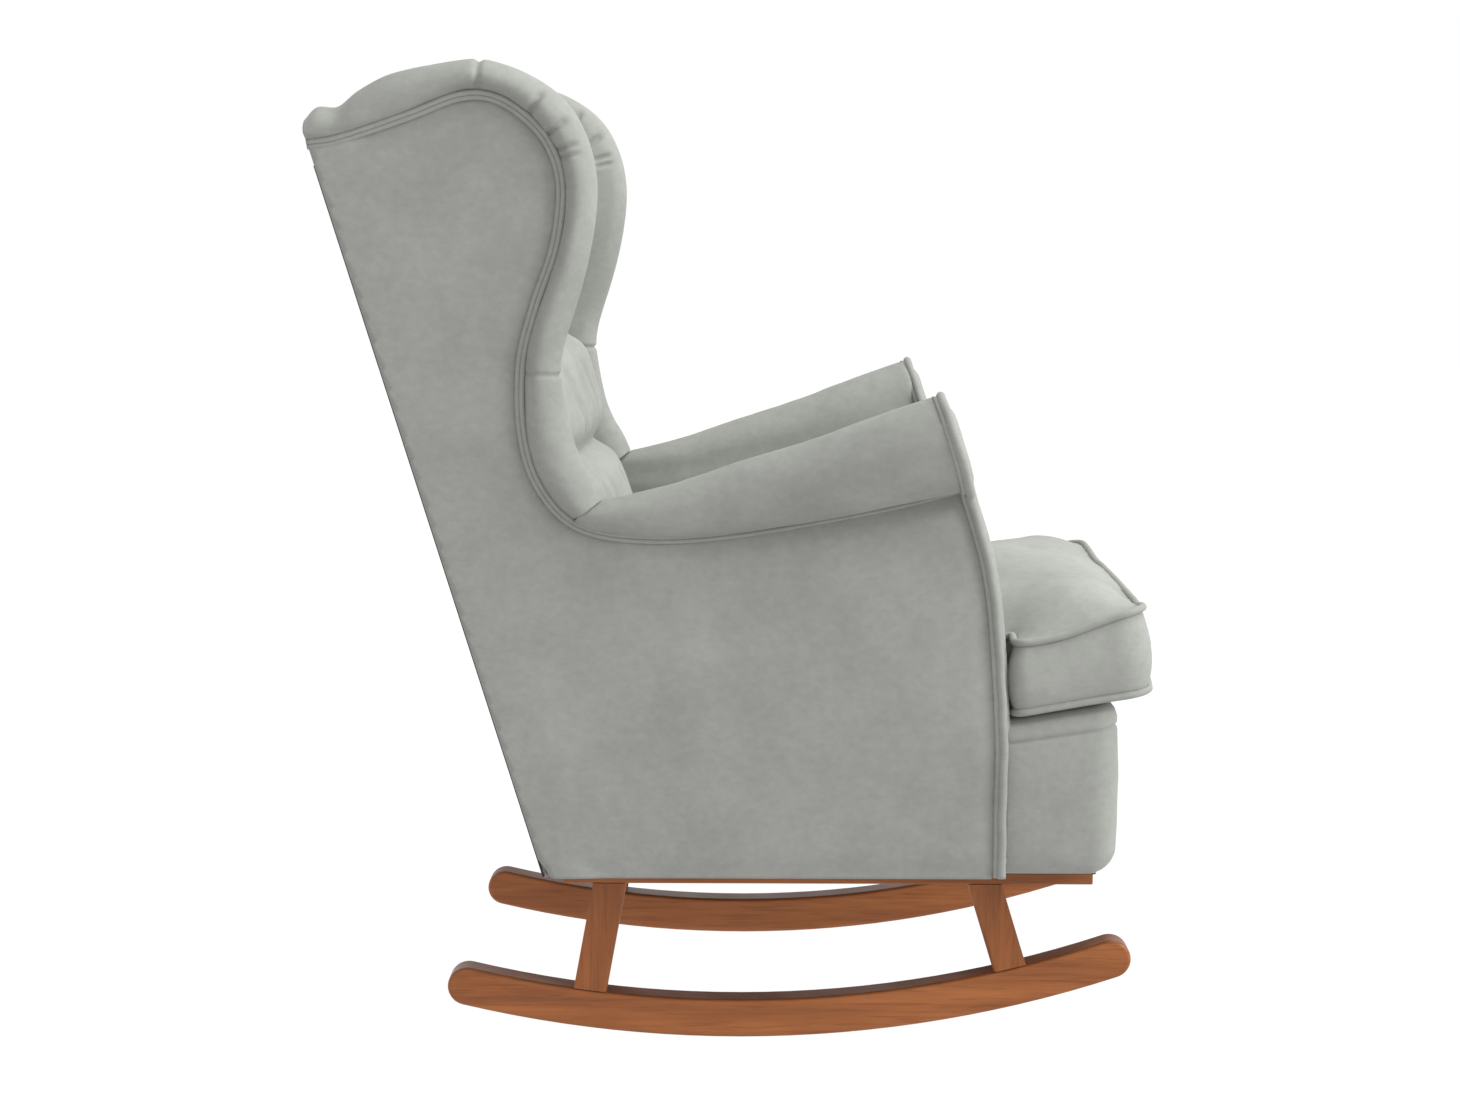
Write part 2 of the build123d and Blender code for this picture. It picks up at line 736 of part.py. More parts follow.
# Everything under the crowned top of the cushion
cushion_top = cushion_thick + cushion_crown
crown_radius = (ear_half**2 + cushion_crown**2) / (2 * cushion_crown)
crown_reach = ear_half + 30
crown_side = cushion_top - crown_radius + (crown_radius**2 - crown_reach**2) ** 0.5
with BuildPart() as crown_space:
    with BuildSketch(Plane(deck_plane.from_local_coords((0, 500, 0)), (1, 0, 0), -deck_plane.y_dir)):
        with BuildLine():
            Polyline((-crown_reach, crown_side), (-crown_reach, body_gap), (crown_reach, body_gap),
                     (crown_reach, crown_side))
            ThreePointArc((crown_reach, crown_side), (0, cushion_top), (-crown_reach, crown_side))
        make_face()
    extrude(amount=700)


def cushion_outline(grow=0):
    """Plan of the T-shaped cushion: its front part is wider than the space between the arms."""
    with BuildSketch() as plan:
        with BuildLine():
            ThreePointArc((-ear_half, cushion_corner_y), (0, cushion_middle_y), (ear_half, cushion_corner_y))
            Polyline(
                (ear_half, cushion_corner_y),
                (ear_half, ear_rear_y),
                (cushion_half, ear_rear_y),
                (cushion_half, cushion_rear_y),
                (-cushion_half, cushion_rear_y),
                (-cushion_half, ear_rear_y),
                (-ear_half, ear_rear_y),
                (-ear_half, cushion_corner_y),
            )
        make_face()
        fillet(plan.vertices().group_by(Axis.Y)[0], cushion_front_corner)
        fillet(plan.vertices().group_by(Axis.Y)[-1], cushion_rear_corner)
        offset(amount=grow - piping_r)
    return plan.sketch


cushion_plan = cushion_outline()
piping_plan = cushion_outline(piping_r)

with BuildPart() as seat_cushion:
    with BuildSketch(Plane.XY):
        add(cushion_plan)
    extrude(amount=600)
    add(crown_space.part, mode=Mode.INTERSECT)
seat_cushion.part.label = "seat_cushion"
export_step(seat_cushion.part, "parts/seat_cushion.step")

piping_drop = Location(-2 * piping_r * deck_plane.z_dir)
for name in ("top", "bottom"):
    with BuildPart() as cushion_piping:
        with BuildSketch(Plane.XY):
            add(piping_plan)
            add(cushion_plan, mode=Mode.SUBTRACT)
        extrude(amount=600)
        add(crown_space.part, mode=Mode.INTERSECT)
        if name == "top":
            add(piping_drop * crown_space.part, mode=Mode.SUBTRACT)
        else:
            split(bisect_by=deck_plane.offset(body_gap + 2 * piping_r), keep=Keep.BOTTOM)
    cushion_piping.part.label = f"cushion_piping_{name}"
    export_step(cushion_piping.part, f"parts/cushion_piping_{name}.step")
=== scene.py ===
"""Looks of the upholstered rocking chair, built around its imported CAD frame.

Lengths are written in millimetres and become metres when a mesh is made. +X is the sitter's left,
-Y is the front and +Z is up.
"""

import math

import bmesh
import bpy
import numpy as np
from mathutils import Matrix, Vector, noise
from mathutils.geometry import delaunay_2d_cdt


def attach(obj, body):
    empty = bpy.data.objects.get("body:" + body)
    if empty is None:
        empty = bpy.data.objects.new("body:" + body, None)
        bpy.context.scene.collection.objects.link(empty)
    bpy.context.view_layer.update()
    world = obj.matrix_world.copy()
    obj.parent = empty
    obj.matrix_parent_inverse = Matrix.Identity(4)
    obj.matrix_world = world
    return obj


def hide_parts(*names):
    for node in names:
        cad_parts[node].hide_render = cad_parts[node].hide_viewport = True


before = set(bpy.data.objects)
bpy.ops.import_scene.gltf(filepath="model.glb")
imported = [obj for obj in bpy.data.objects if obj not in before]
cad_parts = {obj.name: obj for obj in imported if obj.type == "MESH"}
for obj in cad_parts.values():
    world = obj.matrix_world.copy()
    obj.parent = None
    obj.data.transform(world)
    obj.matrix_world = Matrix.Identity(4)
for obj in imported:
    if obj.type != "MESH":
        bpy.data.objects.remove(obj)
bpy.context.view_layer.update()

# ---------------------------------------------------------------- driving dimensions
back_lean = math.radians(17.1)
back_foot = np.array([0.0, 197.0, 181.0])
back_up = np.array([0.0, math.sin(back_lean), math.cos(back_lean)])
back_forward = np.array([0.0, -math.cos(back_lean), math.sin(back_lean)])
seat_slope = math.tan(math.radians(9))
deck_point = (-343.0, 356.0)
underside = 185.0
side_x = 295.0
pad_x = 262.5
hidden_x = pad_x + 8               # unseen faces of the inside covers
roll_centre_x = 300.0
weave = 6.0      # spacing of the mesh points on large panels

# Edge of the side panel: over the wing, down its front and along the arm
welt_points = [
    (425, 920), (394, 925), (328, 947), (276, 966), (238, 964), (203, 941), (181, 911), (172, 872),
    (179, 815), (199, 757), (213, 700), (212, 632), (196, 582), (161, 546), (100, 534), (10, 539),
    (-136, 565), (-221, 586),
]
# The roll around the wing: matching points of its inner edge and its outer edge
wing_pairs = [
    ((425, 920), (427, 940)), ((411, 922), (415, 952)), ((394, 925), (395, 955)),
    ((378, 930), (376, 967)), ((350, 939), (350, 981)), ((328, 947), (326, 988)),
    ((300, 959), (300, 993)), ((274, 968), (274, 997)), ((256, 969), (256, 998)),
    ((238, 965), (236, 994)), ((221, 956), (210, 984)), ((203, 941), (184, 968)),
    ((191, 926), (164, 947)), ((181, 911), (151, 921)), ((174, 890), (144, 895)),
    ((172, 868), (142, 868)), ((174, 839), (145, 835)), ((181, 808), (152, 799)),
    ((191, 778), (161, 766)), ((202, 748), (171, 735)), ((210, 720), (177, 713)),
    ((213, 695), (179, 692)), ((213, 664), (175, 662)), ((212, 632), (168, 629)),
    ((207, 607), (159, 606)), ((196, 582), (149, 589)), ((182, 562), (143, 577)),
    ((166, 548), (139, 567)),
]
# Front wall of the arms, from the underside up
arm_front_points = [
    (-258, 181), (-258, 260), (-258, 340), (-246, 482), (-219, 581), (-190, 675), (-184, 695),
]
arm_head = (322.0, 624.0)
arm_head_r = 48.0


# ---------------------------------------------------------------- helpers
def ease(value):
    """0 to 1 with a soft start and end."""
    t = np.clip(value, 0, 1)
    return t * t * (3 - 2 * t)


def curve(points, count, closed=False):
    """Smooth curve through the points, at evenly spaced stations."""
    p = np.array(points, float)
    if closed:
        p = np.vstack([p[-1], p, p[0], p[1]])
    else:
        p = np.vstack([2 * p[0] - p[1], p, 2 * p[-1] - p[-2]])
    fine = []
    for a, b, c, d in zip(p[:-3], p[1:-2], p[2:-1], p[3:]):
        for t in np.arange(0, 1, 1 / 24):
            fine.append(
                0.5 * (2 * b + (c - a) * t + (2 * a - 5 * b + 4 * c - d) * t**2
                       + (3 * b - a - 3 * c + d) * t**3)
            )
    fine.append(p[-2])
    return even(np.array(fine), count, closed)


def even(line, count, closed=False):
    """The same line with evenly spaced points. A closed one leaves out the repeated last point."""
    step = np.linalg.norm(np.diff(line, axis=0), axis=1)
    run = np.concatenate([[0], np.cumsum(step)])
    where = np.linspace(0, run[-1], count + 1 if closed else count)
    if closed:
        where = where[:-1]
    return np.stack([np.interp(where, run, line[:, k]) for k in range(line.shape[1])], 1)


def arc(centre, radius, start, end, count):
    """Points on a round stretch, angles in degrees."""
    angles = np.radians(np.linspace(start, end, count))
    return [(centre[0] + radius * math.cos(a), centre[1] + radius * math.sin(a)) for a in angles]


def normals_2d(line):
    """Unit normals to the left of a line in its plane."""
    t = np.gradient(line, axis=0)
    t /= np.linalg.norm(t, axis=1)[:, None]
    return np.stack([-t[:, 1], t[:, 0]], 1)


def ripple(points, size, seed):
    """Smooth noise from about -1 to 1 at each point, with features of this size."""
    shift = Vector((seed * 7.31, seed * 3.17, seed * 5.53))
    return np.array([noise.noise(Vector(p) / size + shift) for p in points])


def back_y(z, forward=0.0):
    """Y of the plane at a distance forward from the rear face of the back."""
    return back_foot[1] + (z - back_foot[2]) * math.tan(back_lean) - forward / math.cos(back_lean)


def deck_z(y):
    """Z of the platform under the loose cushion."""
    return deck_point[1] - (y - deck_point[0]) * seat_slope


def on_back(x, s, t):
    """Points from the width, the distance up the back and the distance forward from its rear."""
    x, s, t = np.broadcast_arrays(x, s, t)
    points = back_foot + s[..., None] * back_up + t[..., None] * back_forward
    points[..., 0] = x
    return points


def make(name, points, faces, material, replaces=(), body="chair"):
    """A closed mesh piece that rides on a body and stands for CAD nodes."""
    mesh = bpy.data.meshes.new(name)
    metres = np.asarray(points, float) / 1000
    mesh.from_pydata([tuple(p) for p in metres], [], [tuple(f) for f in faces])
    work = bmesh.new()
    work.from_mesh(mesh)
    bmesh.ops.remove_doubles(work, verts=work.verts, dist=1e-6)
    bmesh.ops.recalc_face_normals(work, faces=work.faces)
    work.to_mesh(mesh)
    work.free()
    for polygon in mesh.polygons:
        polygon.use_smooth = True
    piece = bpy.data.objects.new(name, mesh)
    bpy.context.scene.collection.objects.link(piece)
    mesh.materials.append(material)
    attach(piece, body)
    if replaces:
        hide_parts(*replaces)
    return piece


def loft_faces(rows, columns, close_rows=False):
    """Faces between rings of points, with both ends capped unless the rows close on themselves."""
    faces = []
    for i in range(rows if close_rows else rows - 1):
        a = i * columns
        b = (i + 1) % rows * columns
        for j in range(columns):
            k = (j + 1) % columns
            faces.append((a + j, a + k, b + k, b + j))
    if not close_rows:
        faces.append(tuple(range(columns)))
        faces.append(tuple(range((rows - 1) * columns, rows * columns)))
    return faces


def tube(path, radius, closed=False, sides=10):
    """Points and faces of a round cord along a path, with flat caps at its ends when it is open."""
    path = np.asarray(path, float)
    count = len(path)
    if closed:
        tangents = np.roll(path, -1, 0) - np.roll(path, 1, 0)
    else:
        tangents = np.gradient(path, axis=0)
    tangents /= np.linalg.norm(tangents, axis=1)[:, None]
    across = np.cross(tangents[0], [0.3, 0.5, 0.81])
    rings = []
    radii = np.broadcast_to(np.asarray(radius, float), count)
    for point, tangent, r in zip(path, tangents, radii):
        across = across - tangent * across.dot(tangent)
        across /= np.linalg.norm(across)
        other = np.cross(tangent, across)
        for k in range(sides):
            angle = 2 * math.pi * k / sides
            rings.append(point + r * (math.cos(angle) * across + math.sin(angle) * other))
    if not closed:
        return rings, loft_faces(count, sides)
    faces = loft_faces(count, sides, True)
    # The frame turns a little on its way around, so the last ring joins the first where they meet
    first = np.array(rings[:sides])
    last = np.array(rings[-sides:])
    turn = min(range(sides), key=lambda k: np.linalg.norm(np.roll(first, -k, 0) - last))
    faces = faces[: (count - 1) * sides]
    base = (count - 1) * sides
    for j in range(sides):
        k = (j + 1) % sides
        faces.append((base + j, base + k, (k + turn) % sides, (j + turn) % sides))
    return rings, faces


def join(parts):
    """Several sets of points and faces as one."""
    points = []
    faces = []
    for p, f in parts:
        faces += [tuple(len(points) + i for i in face) for face in f]
        points += list(p)
    return points, faces


def triangulate(outline, spacing):
    """Triangles over a flat outline, the distance of each point to the edge, and the edge's sides."""
    outline = np.asarray(outline, float)
    low = outline.min(0)
    high = outline.max(0)
    inner = []
    row = 0
    v = low[1] + spacing / 2
    while v < high[1]:
        u = low[0] + spacing * (0.25 + 0.5 * (row % 2))
        while u < high[0]:
            inner.append((u, v))
            u += spacing
        v += spacing * 0.87
        row += 1
    inner = np.array(inner)
    inner = inner[inside(inner, outline) & (edge_distance(inner, outline) > spacing * 0.45)]
    edge = [(i, (i + 1) % len(outline)) for i in range(len(outline))]
    flat = [Vector(p) for p in np.vstack([outline, inner])]
    result = delaunay_2d_cdt(flat, edge, [], 1, 1e-5)
    points = np.array([tuple(p) for p in result[0]])
    triangles = np.array([tuple(f) for f in result[2]])
    seen = {}
    for a, b, c in triangles:
        for p, q in ((a, b), (b, c), (c, a)):
            key = (min(p, q), max(p, q))
            seen[key] = None if key in seen else (p, q)
    rim = [side for side in seen.values() if side]
    distance = edge_distance(points, outline)
    distance[np.unique(np.array(rim))] = 0
    return points, triangles, distance, rim


def edge_distance(points, outline):
    """Distance of each point to the closed outline."""
    best = np.full(len(points), 1e9)
    for a, b in zip(outline, np.roll(outline, -1, 0)):
        along = b - a
        t = np.clip(((points - a) @ along) / max(along @ along, 1e-9), 0, 1)
        best = np.minimum(best, np.linalg.norm(points - a - t[:, None] * along, axis=1))
    return best


def inside(points, outline):
    """Whether each point is inside the closed outline."""
    result = np.zeros(len(points), bool)
    for a, b in zip(outline, np.roll(outline, -1, 0)):
        crosses = (a[1] > points[:, 1]) != (b[1] > points[:, 1])
        rise = b[1] - a[1] if b[1] != a[1] else 1e-9
        result ^= crosses & (points[:, 0] < (b[0] - a[0]) * (points[:, 1] - a[1]) / rise + a[0])
    return result


def sheet_shell(front, back, triangles, rim):
    """A closed shell from matching front and back points."""
    n = len(front)
    faces = [tuple(t) for t in triangles]
    faces += [(a + n, c + n, b + n) for a, b, c in triangles]
    faces += [(a, a + n, b + n, b) for a, b in rim]
    return np.vstack([front, back]), faces


def soften(values, triangles, fixed, times):
    """Evens out values over a mesh by averaging neighbours, except where they are fixed."""
    pairs = np.vstack([triangles[:, [0, 1]], triangles[:, [1, 2]], triangles[:, [2, 0]]])
    pairs = np.vstack([pairs, pairs[:, ::-1]])
    count = np.bincount(pairs[:, 0], minlength=len(values))
    for _ in range(times):
        total = np.bincount(pairs[:, 0], weights=values[pairs[:, 1]], minlength=len(values))
        values = np.where(fixed, values, total / np.maximum(count, 1))
    return values


# ---------------------------------------------------------------- materials
def new_material(name):
    """A material with one Principled shader."""
    material = bpy.data.materials.new(name)
    material.use_nodes = True
    nodes = material.node_tree.nodes
    nodes.clear()
    output = nodes.new("ShaderNodeOutputMaterial")
    shader = nodes.new("ShaderNodeBsdfPrincipled")
    material.node_tree.links.new(shader.outputs["BSDF"], output.inputs["Surface"])
    return material, shader


def noise_node(tree, scale, detail=2.0, stretch=(1, 1, 1), roughness=0.5):
    """Noise in object space, stretched along an axis where its scale is small."""
    place = tree.nodes.new("ShaderNodeTexCoord")
    mapping = tree.nodes.new("ShaderNodeMapping")
    mapping.inputs["Scale"].default_value = stretch
    texture = tree.nodes.new("ShaderNodeTexNoise")
    texture.inputs["Scale"].default_value = scale
    texture.inputs["Detail"].default_value = detail
    texture.inputs["Roughness"].default_value = roughness
    tree.links.new(place.outputs["Object"], mapping.inputs["Vector"])
    tree.links.new(mapping.outputs["Vector"], texture.inputs["Vector"])
    return texture.outputs["Fac"]


def ramp(tree, value, stops):
    """Colours between stops (position, colour)."""
    node = tree.nodes.new("ShaderNodeValToRGB")
    elements = node.color_ramp.elements
    while len(elements) < len(stops):
        elements.new(0.5)
    for element, (position, colour) in zip(elements, stops):
        element.position = position
        element.color = (*colour, 1)
    tree.links.new(value, node.inputs["Fac"])
    return node.outputs["Color"]


def bump(tree, height, strength, distance, below=None):
    """Normals with this height on them, over another bump where there is one."""
    node = tree.nodes.new("ShaderNodeBump")
    node.inputs["Strength"].default_value = strength
    node.inputs["Distance"].default_value = distance
    tree.links.new(height, node.inputs["Height"])
    if below is not None:
        tree.links.new(below, node.inputs["Normal"])
    return node.outputs["Normal"]


def mix_colour(tree, factor, first, second, kind="MIX"):
    """Two colours mixed; each value is a number, a colour or a socket."""
    node = tree.nodes.new("ShaderNodeMix")
    node.data_type = "RGBA"
    node.blend_type = kind
    for value, socket in ((factor, 0), (first, 6), (second, 7)):
        if isinstance(value, (int, float)):
            node.inputs[socket].default_value = value
        elif isinstance(value, tuple):
            node.inputs[socket].default_value = (*value, 1)
        else:
            tree.links.new(value, node.inputs[socket])
    return node.outputs[2]


def scaled(colour, factor):
    return tuple(c * factor for c in colour)


def velvet_material(name, colour, blotch=0.10):
    """Short-pile velvet: soft cloudy nap, a fine weave and a sheen at grazing angles."""
    material, shader = new_material(name)
    tree = material.node_tree
    clouds = noise_node(tree, 9, 6, (1, 1, 1), 0.62)
    cloudy = ramp(tree, clouds, [(0.3, scaled(colour, 1 - blotch)), (0.7, scaled(colour, 1 + blotch))])
    fine = noise_node(tree, 90, 4, (1, 1, 1.5), 0.7)
    speckle = ramp(tree, fine, [(0.3, (0.93, 0.93, 0.93)), (0.7, (1.05, 1.05, 1.05))])
    tone = mix_colour(tree, 1.0, cloudy, speckle, "MULTIPLY")
    tree.links.new(tone, shader.inputs["Base Color"])
    nap = noise_node(tree, 900, 3, (1, 1, 1), 0.6)
    soft = bump(tree, nap, 0.12, 0.0006)
    folds = bump(tree, noise_node(tree, 22, 3), 0.18, 0.006, soft)
    tree.links.new(folds, shader.inputs["Normal"])
    shader.inputs["Roughness"].default_value = 0.88
    shader.inputs["Specular IOR Level"].default_value = 0.15
    shader.inputs["Sheen Weight"].default_value = 0.10
    shader.inputs["Sheen Roughness"].default_value = 0.45
    shader.inputs["Sheen Tint"].default_value = (0.86, 0.88, 0.86, 1)
    return material


def wood_material(name, along, dark, mid, light):
    """Stained wood with its grain running along one axis, and painted shade on the faces that point up.
    """
    material, shader = new_material(name)
    tree = material.node_tree
    stretch = [14.0, 14.0, 14.0]
    stretch[along] = 1.0
    bands = noise_node(tree, 3.2, 5, tuple(stretch), 0.62)
    colour = ramp(tree, bands, [(0.28, dark), (0.5, mid), (0.72, light)])
    pores_stretch = [90.0, 90.0, 90.0]
    pores_stretch[along] = 4.0
    pores = noise_node(tree, 4.0, 3, tuple(pores_stretch), 0.6)
    shade = ramp(tree, pores, [(0.36, (0.80, 0.77, 0.75)), (0.5, (1, 1, 1))])
    grained = mix_colour(tree, 1.0, colour, shade, "MULTIPLY")
    # Painted shade: faces that point up are darkened, standing in for the shade that the chair's body
    # casts on the tops of the rockers and rails
    shape = tree.nodes.new("ShaderNodeNewGeometry")
    split = tree.nodes.new("ShaderNodeSeparateXYZ")
    tree.links.new(shape.outputs["Normal"], split.inputs["Vector"])
    painted_top_shade = ramp(tree, split.outputs["Z"], [(0.25, (1, 1, 1)), (0.85, (0.55, 0.53, 0.55))])
    tone = mix_colour(tree, 1.0, grained, painted_top_shade, "MULTIPLY")
    tree.links.new(tone, shader.inputs["Base Color"])
    tree.links.new(bump(tree, pores, 0.10, 0.0004), shader.inputs["Normal"])
    patchy = noise_node(tree, 12, 2)
    rough = ramp(tree, patchy, [(0.3, (0.36, 0.36, 0.36)), (0.7, (0.52, 0.52, 0.52))])
    tree.links.new(rough, shader.inputs["Roughness"])
    shader.inputs["Specular IOR Level"].default_value = 0.28
    shader.inputs["Coat Weight"].default_value = 0.05
    shader.inputs["Coat Roughness"].default_value = 0.3
    return material


def plain_material(name, colour, roughness, metallic=0.0, scale=120.0, contrast=0.15):
    """A plain material with a light mottle."""
    material, shader = new_material(name)
    tree = material.node_tree
    grain = noise_node(tree, scale, 3)
    tone = ramp(tree, grain, [(0.3, scaled(colour, 1 - contrast)), (0.7, scaled(colour, 1 + contrast))])
    tree.links.new(tone, shader.inputs["Base Color"])
    tree.links.new(bump(tree, grain, 0.15, 0.0005), shader.inputs["Normal"])
    shader.inputs["Roughness"].default_value = roughness
    shader.inputs["Metallic"].default_value = metallic
    return material


velvet_tone = (0.252, 0.254, 0.238)
velvet = velvet_material("velvet", velvet_tone)
# Painted light: the same velvet made 6% lighter for the pieces that face the front and the top (arm
# facings, cushion, tufted back), standing in for the light falling on them
velvet_painted_lit = velvet_material("velvet_with_painted_light", scaled(velvet_tone, 1.06))
velvet_cord = velvet_material("velvet_piping", velvet_tone, 0.04)
wood_dark = (0.165, 0.050, 0.014)
wood_mid = (0.250, 0.078, 0.020)
wood_light = (0.335, 0.112, 0.031)
wood_long = wood_material("wood_along_y", 1, wood_dark, wood_mid, wood_light)
wood_tall = wood_material("wood_along_z", 2, wood_dark, wood_mid, wood_light)
wood_wide = wood_material("wood_along_x", 0, wood_dark, wood_mid, wood_light)
raw_dark = (0.42, 0.28, 0.15)
raw_mid = (0.55, 0.40, 0.24)
raw_light = (0.66, 0.50, 0.32)
raw_long = wood_material("raw_along_y", 1, raw_dark, raw_mid, raw_light)
raw_tall = wood_material("raw_along_z", 2, raw_dark, raw_mid, raw_light)
raw_wide = wood_material("raw_along_x", 0, raw_dark, raw_mid, raw_light)
webbing = plain_material("webbing", (0.09, 0.08, 0.07), 0.9, 0.0, 300.0)
# Black cloth for the dust cover; the same black on the rear tack strips is painted shadow along the rear
# edges of the back
dust_cloth_and_shadow = plain_material("black_lining", (0.02, 0.02, 0.02), 0.9, 0.0, 200.0)
deck_cloth = plain_material("deck_cloth", (0.30, 0.31, 0.29), 0.9, 0.0, 400.0)
steel = plain_material("zinc_steel", (0.55, 0.55, 0.56), 0.35, 1.0, 60.0, 0.08)


def finish_cad(prefixes, material):
    """Gives this material to the CAD nodes whose names start so."""
    for node_name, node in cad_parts.items():
        if node_name.startswith(prefixes):
            node.data.materials.clear()
            node.data.materials.append(material)


finish_cad(("rocker_", "side_rail_"), wood_long)
finish_cad(("leg_",), wood_tall)
finish_cad(("cross_rail_",), wood_wide)
finish_cad(("seat_frame_front", "seat_frame_rear", "back_top_rail", "back_bottom_rail"), raw_wide)
finish_cad(("seat_frame_left", "seat_frame_right", "arm_frame_"), raw_long)
finish_cad(("wing_frame_", "back_post_", "corner_blocks"), raw_tall)
finish_cad(("seat_webbing", "back_webbing"), webbing)
# The dust cover is black lining cloth; the rear tack strips are black as painted shadow along the back's
# rear edges
finish_cad(("dust_cover", "rear_tack_strip_"), dust_cloth_and_shadow)
finish_cad(("seat_deck_pad",), deck_cloth)
finish_cad(("base_bolts", "frame_bolts"), steel)

# ---------------------------------------------------------------- curves shared by the pieces
welt = curve(welt_points, 260)
welt_in = normals_2d(welt)
wing_stations = 380
wing_edge = curve([list(w) + list(s) for w, s in wing_pairs], wing_stations)
arm_front = curve(arm_front_points, 90)


# ---------------------------------------------------------------- side panels and their welt
def side_panel(side, sign):
    """The large outside cover of the wing and arm."""
    front = arm_front[(arm_front[:, 1] < 576) & (arm_front[:, 1] > underside + 8)][::-1]
    corner = arc((back_y(underside + 9) - 14, underside + 9), 9, 270, 350, 4)
    rear = [(back_y(z) + 0.6, z) for z in np.linspace(underside + 20, 908, 80)]
    bottom = [(y, underside) for y in np.linspace(front[-1][0] + 8, corner[0][0] - 8, 50)]
    outline = np.vstack([welt + 4.0 * welt_in, front, bottom, corner, rear])
    flat, triangles, distance, rim = triangulate(outline, weave)
    behind = ease((flat[:, 0] - back_y(flat[:, 1]) + 66) / 36)
    outer = side_x - 1.5 + 4.0 * np.maximum(ease(distance / 26), behind)
    slack = np.column_stack([flat[:, 0], flat[:, 1], np.zeros(len(flat))])
    outer += 1.3 * ripple(slack, 190, 1 + sign) * ease(distance / 60)
    outer += 0.45 * ripple(slack * (1, 0.35, 1), 46, 5 + sign) * ease(distance / 30)
    # Soft pulls that fan out from the lower corners
    for y, z in ((-250, 190), (190, 190)):
        away = np.hypot(flat[:, 0] - y, flat[:, 1] - z)
        angle = np.arctan2(flat[:, 1] - z, flat[:, 0] - y)
        outer += 0.5 * np.sin(angle * 16) * np.exp(-away / 70) * ease(distance / 16)
    front_points = np.column_stack([sign * outer, flat])
    back_points = np.column_stack([np.full(len(flat), sign * (side_x - 6.0)), flat])
    points, faces = sheet_shell(front_points, back_points, triangles, rim)
    make(f"side_panel_{side}", points, faces, velvet, [f"side_cover_{side}"])


def side_welt(side, sign):
    """Double cord along the seam between the side panel and the rolls."""
    cords = []
    for inset, out, radius in ((2.4, 2.2, 2.9), (7.0, 1.0, 2.8)):
        line = welt + inset * welt_in
        wander = 0.35 * ripple(np.column_stack([line, np.full(len(line), inset)]), 14, 91)
        x = sign * (side_x + out + wander)
        path = np.column_stack([x, line])
        cords.append(tube(path, radius))
    points, faces = join(cords)
    make(f"side_welt_{side}", points, faces, velvet_cord, [f"side_welt_{side}"])


# ---------------------------------------------------------------- wing roll
# X, distance from the inner edge, and share of the roll's width to add to it
roll_section = [
    (297, -1, 0), (304, 3, 0), (309.5, 1, 0.24), (309, 0, 0.52), (301, 0, 0.8), (286, 0, 1.0),
    (270, 0, 0.9), (260, 0, 0.62), (256, 0, 0.3), (254, 0, 0.02), (253, 0, -0.3), (262, -6, -0.3),
    (285, -7, -0.1),
]


def wing_roll(side, sign):
    """Padded roll from the top of the back, around the wing and down to the arm."""
    ring = 56
    rows = []
    for w_y, w_z, s_y, s_z in wing_edge:
        w = np.array([w_y, w_z])
        s = np.array([s_y, s_z])
        width = np.linalg.norm(s - w)
        unit = (s - w) / width
        places = [(x, offset + share * width) for x, offset, share in roll_section]
        rows.append((w, unit, width, curve(places, ring, True)))
    seams = wing_edge[:, :2]
    run = np.concatenate([[0], np.cumsum(np.linalg.norm(np.diff(seams, axis=0), axis=1))])

    def station(y, z):
        return run[np.argmin(np.hypot(seams[:, 0] - y, seams[:, 1] - z))]

    # Place, depth, half width and how far each groove reaches across the roll
    grooves = [
        (station(256, 969), 3.2, 3.2, 2.0),
        (station(206, 945), 5.5, 3.2, 0.92),
        (station(190, 924), 5.5, 3.0, 0.86),
        (station(180, 909), 4.5, 2.4, 0.80),
        (station(177, 902), 4.0, 2.4, 0.78),
        (station(213, 692), 2.6, 2.4, 2.0),
        (station(394, 925), 3.0, 12.0, 2.0),
        (station(209, 612), 1.2, 10.0, 0.7),
    ]
    points = []
    for (w, unit, width, section), where in zip(rows, run):
        centre = np.array([281.0, 0.42 * width])
        for x, off in section:
            inward = centre - (x, off)
            inward /= max(np.linalg.norm(inward), 1e-6)
            share = np.clip(off / width, 0, 1)
            dent = 0.0
            for place, depth, half, reach in grooves:
                fade = 1 - ease((share - reach + 0.3) / 0.3) if reach < 1 else 1.0
                dent += depth * fade * math.exp(-(((where - place) / half) ** 2))
            dent *= float(ease((off + 2) / 5))
            p = np.array([x, off]) + inward * dent
            y, z = w + unit * p[1]
            points.append((sign * p[0], y, z))
    points = np.array(points)
    points[:, 0] += sign * 0.9 * ripple(points, 60, 11 + sign)
    piece = make(f"wing_roll_{side}", points, loft_faces(wing_stations, ring), velvet,
                 [f"wing_roll_{side}"])


# ---------------------------------------------------------------- arm roll
arm_top = [(150, 566), (79, 583), (8, 606), (-64, 628), (-135, 653), (-200, 673)]
arm_low = [(150, 541), (129, 535), (90, 530), (41, 532), (-57, 547), (-154, 569), (-200, 579)]


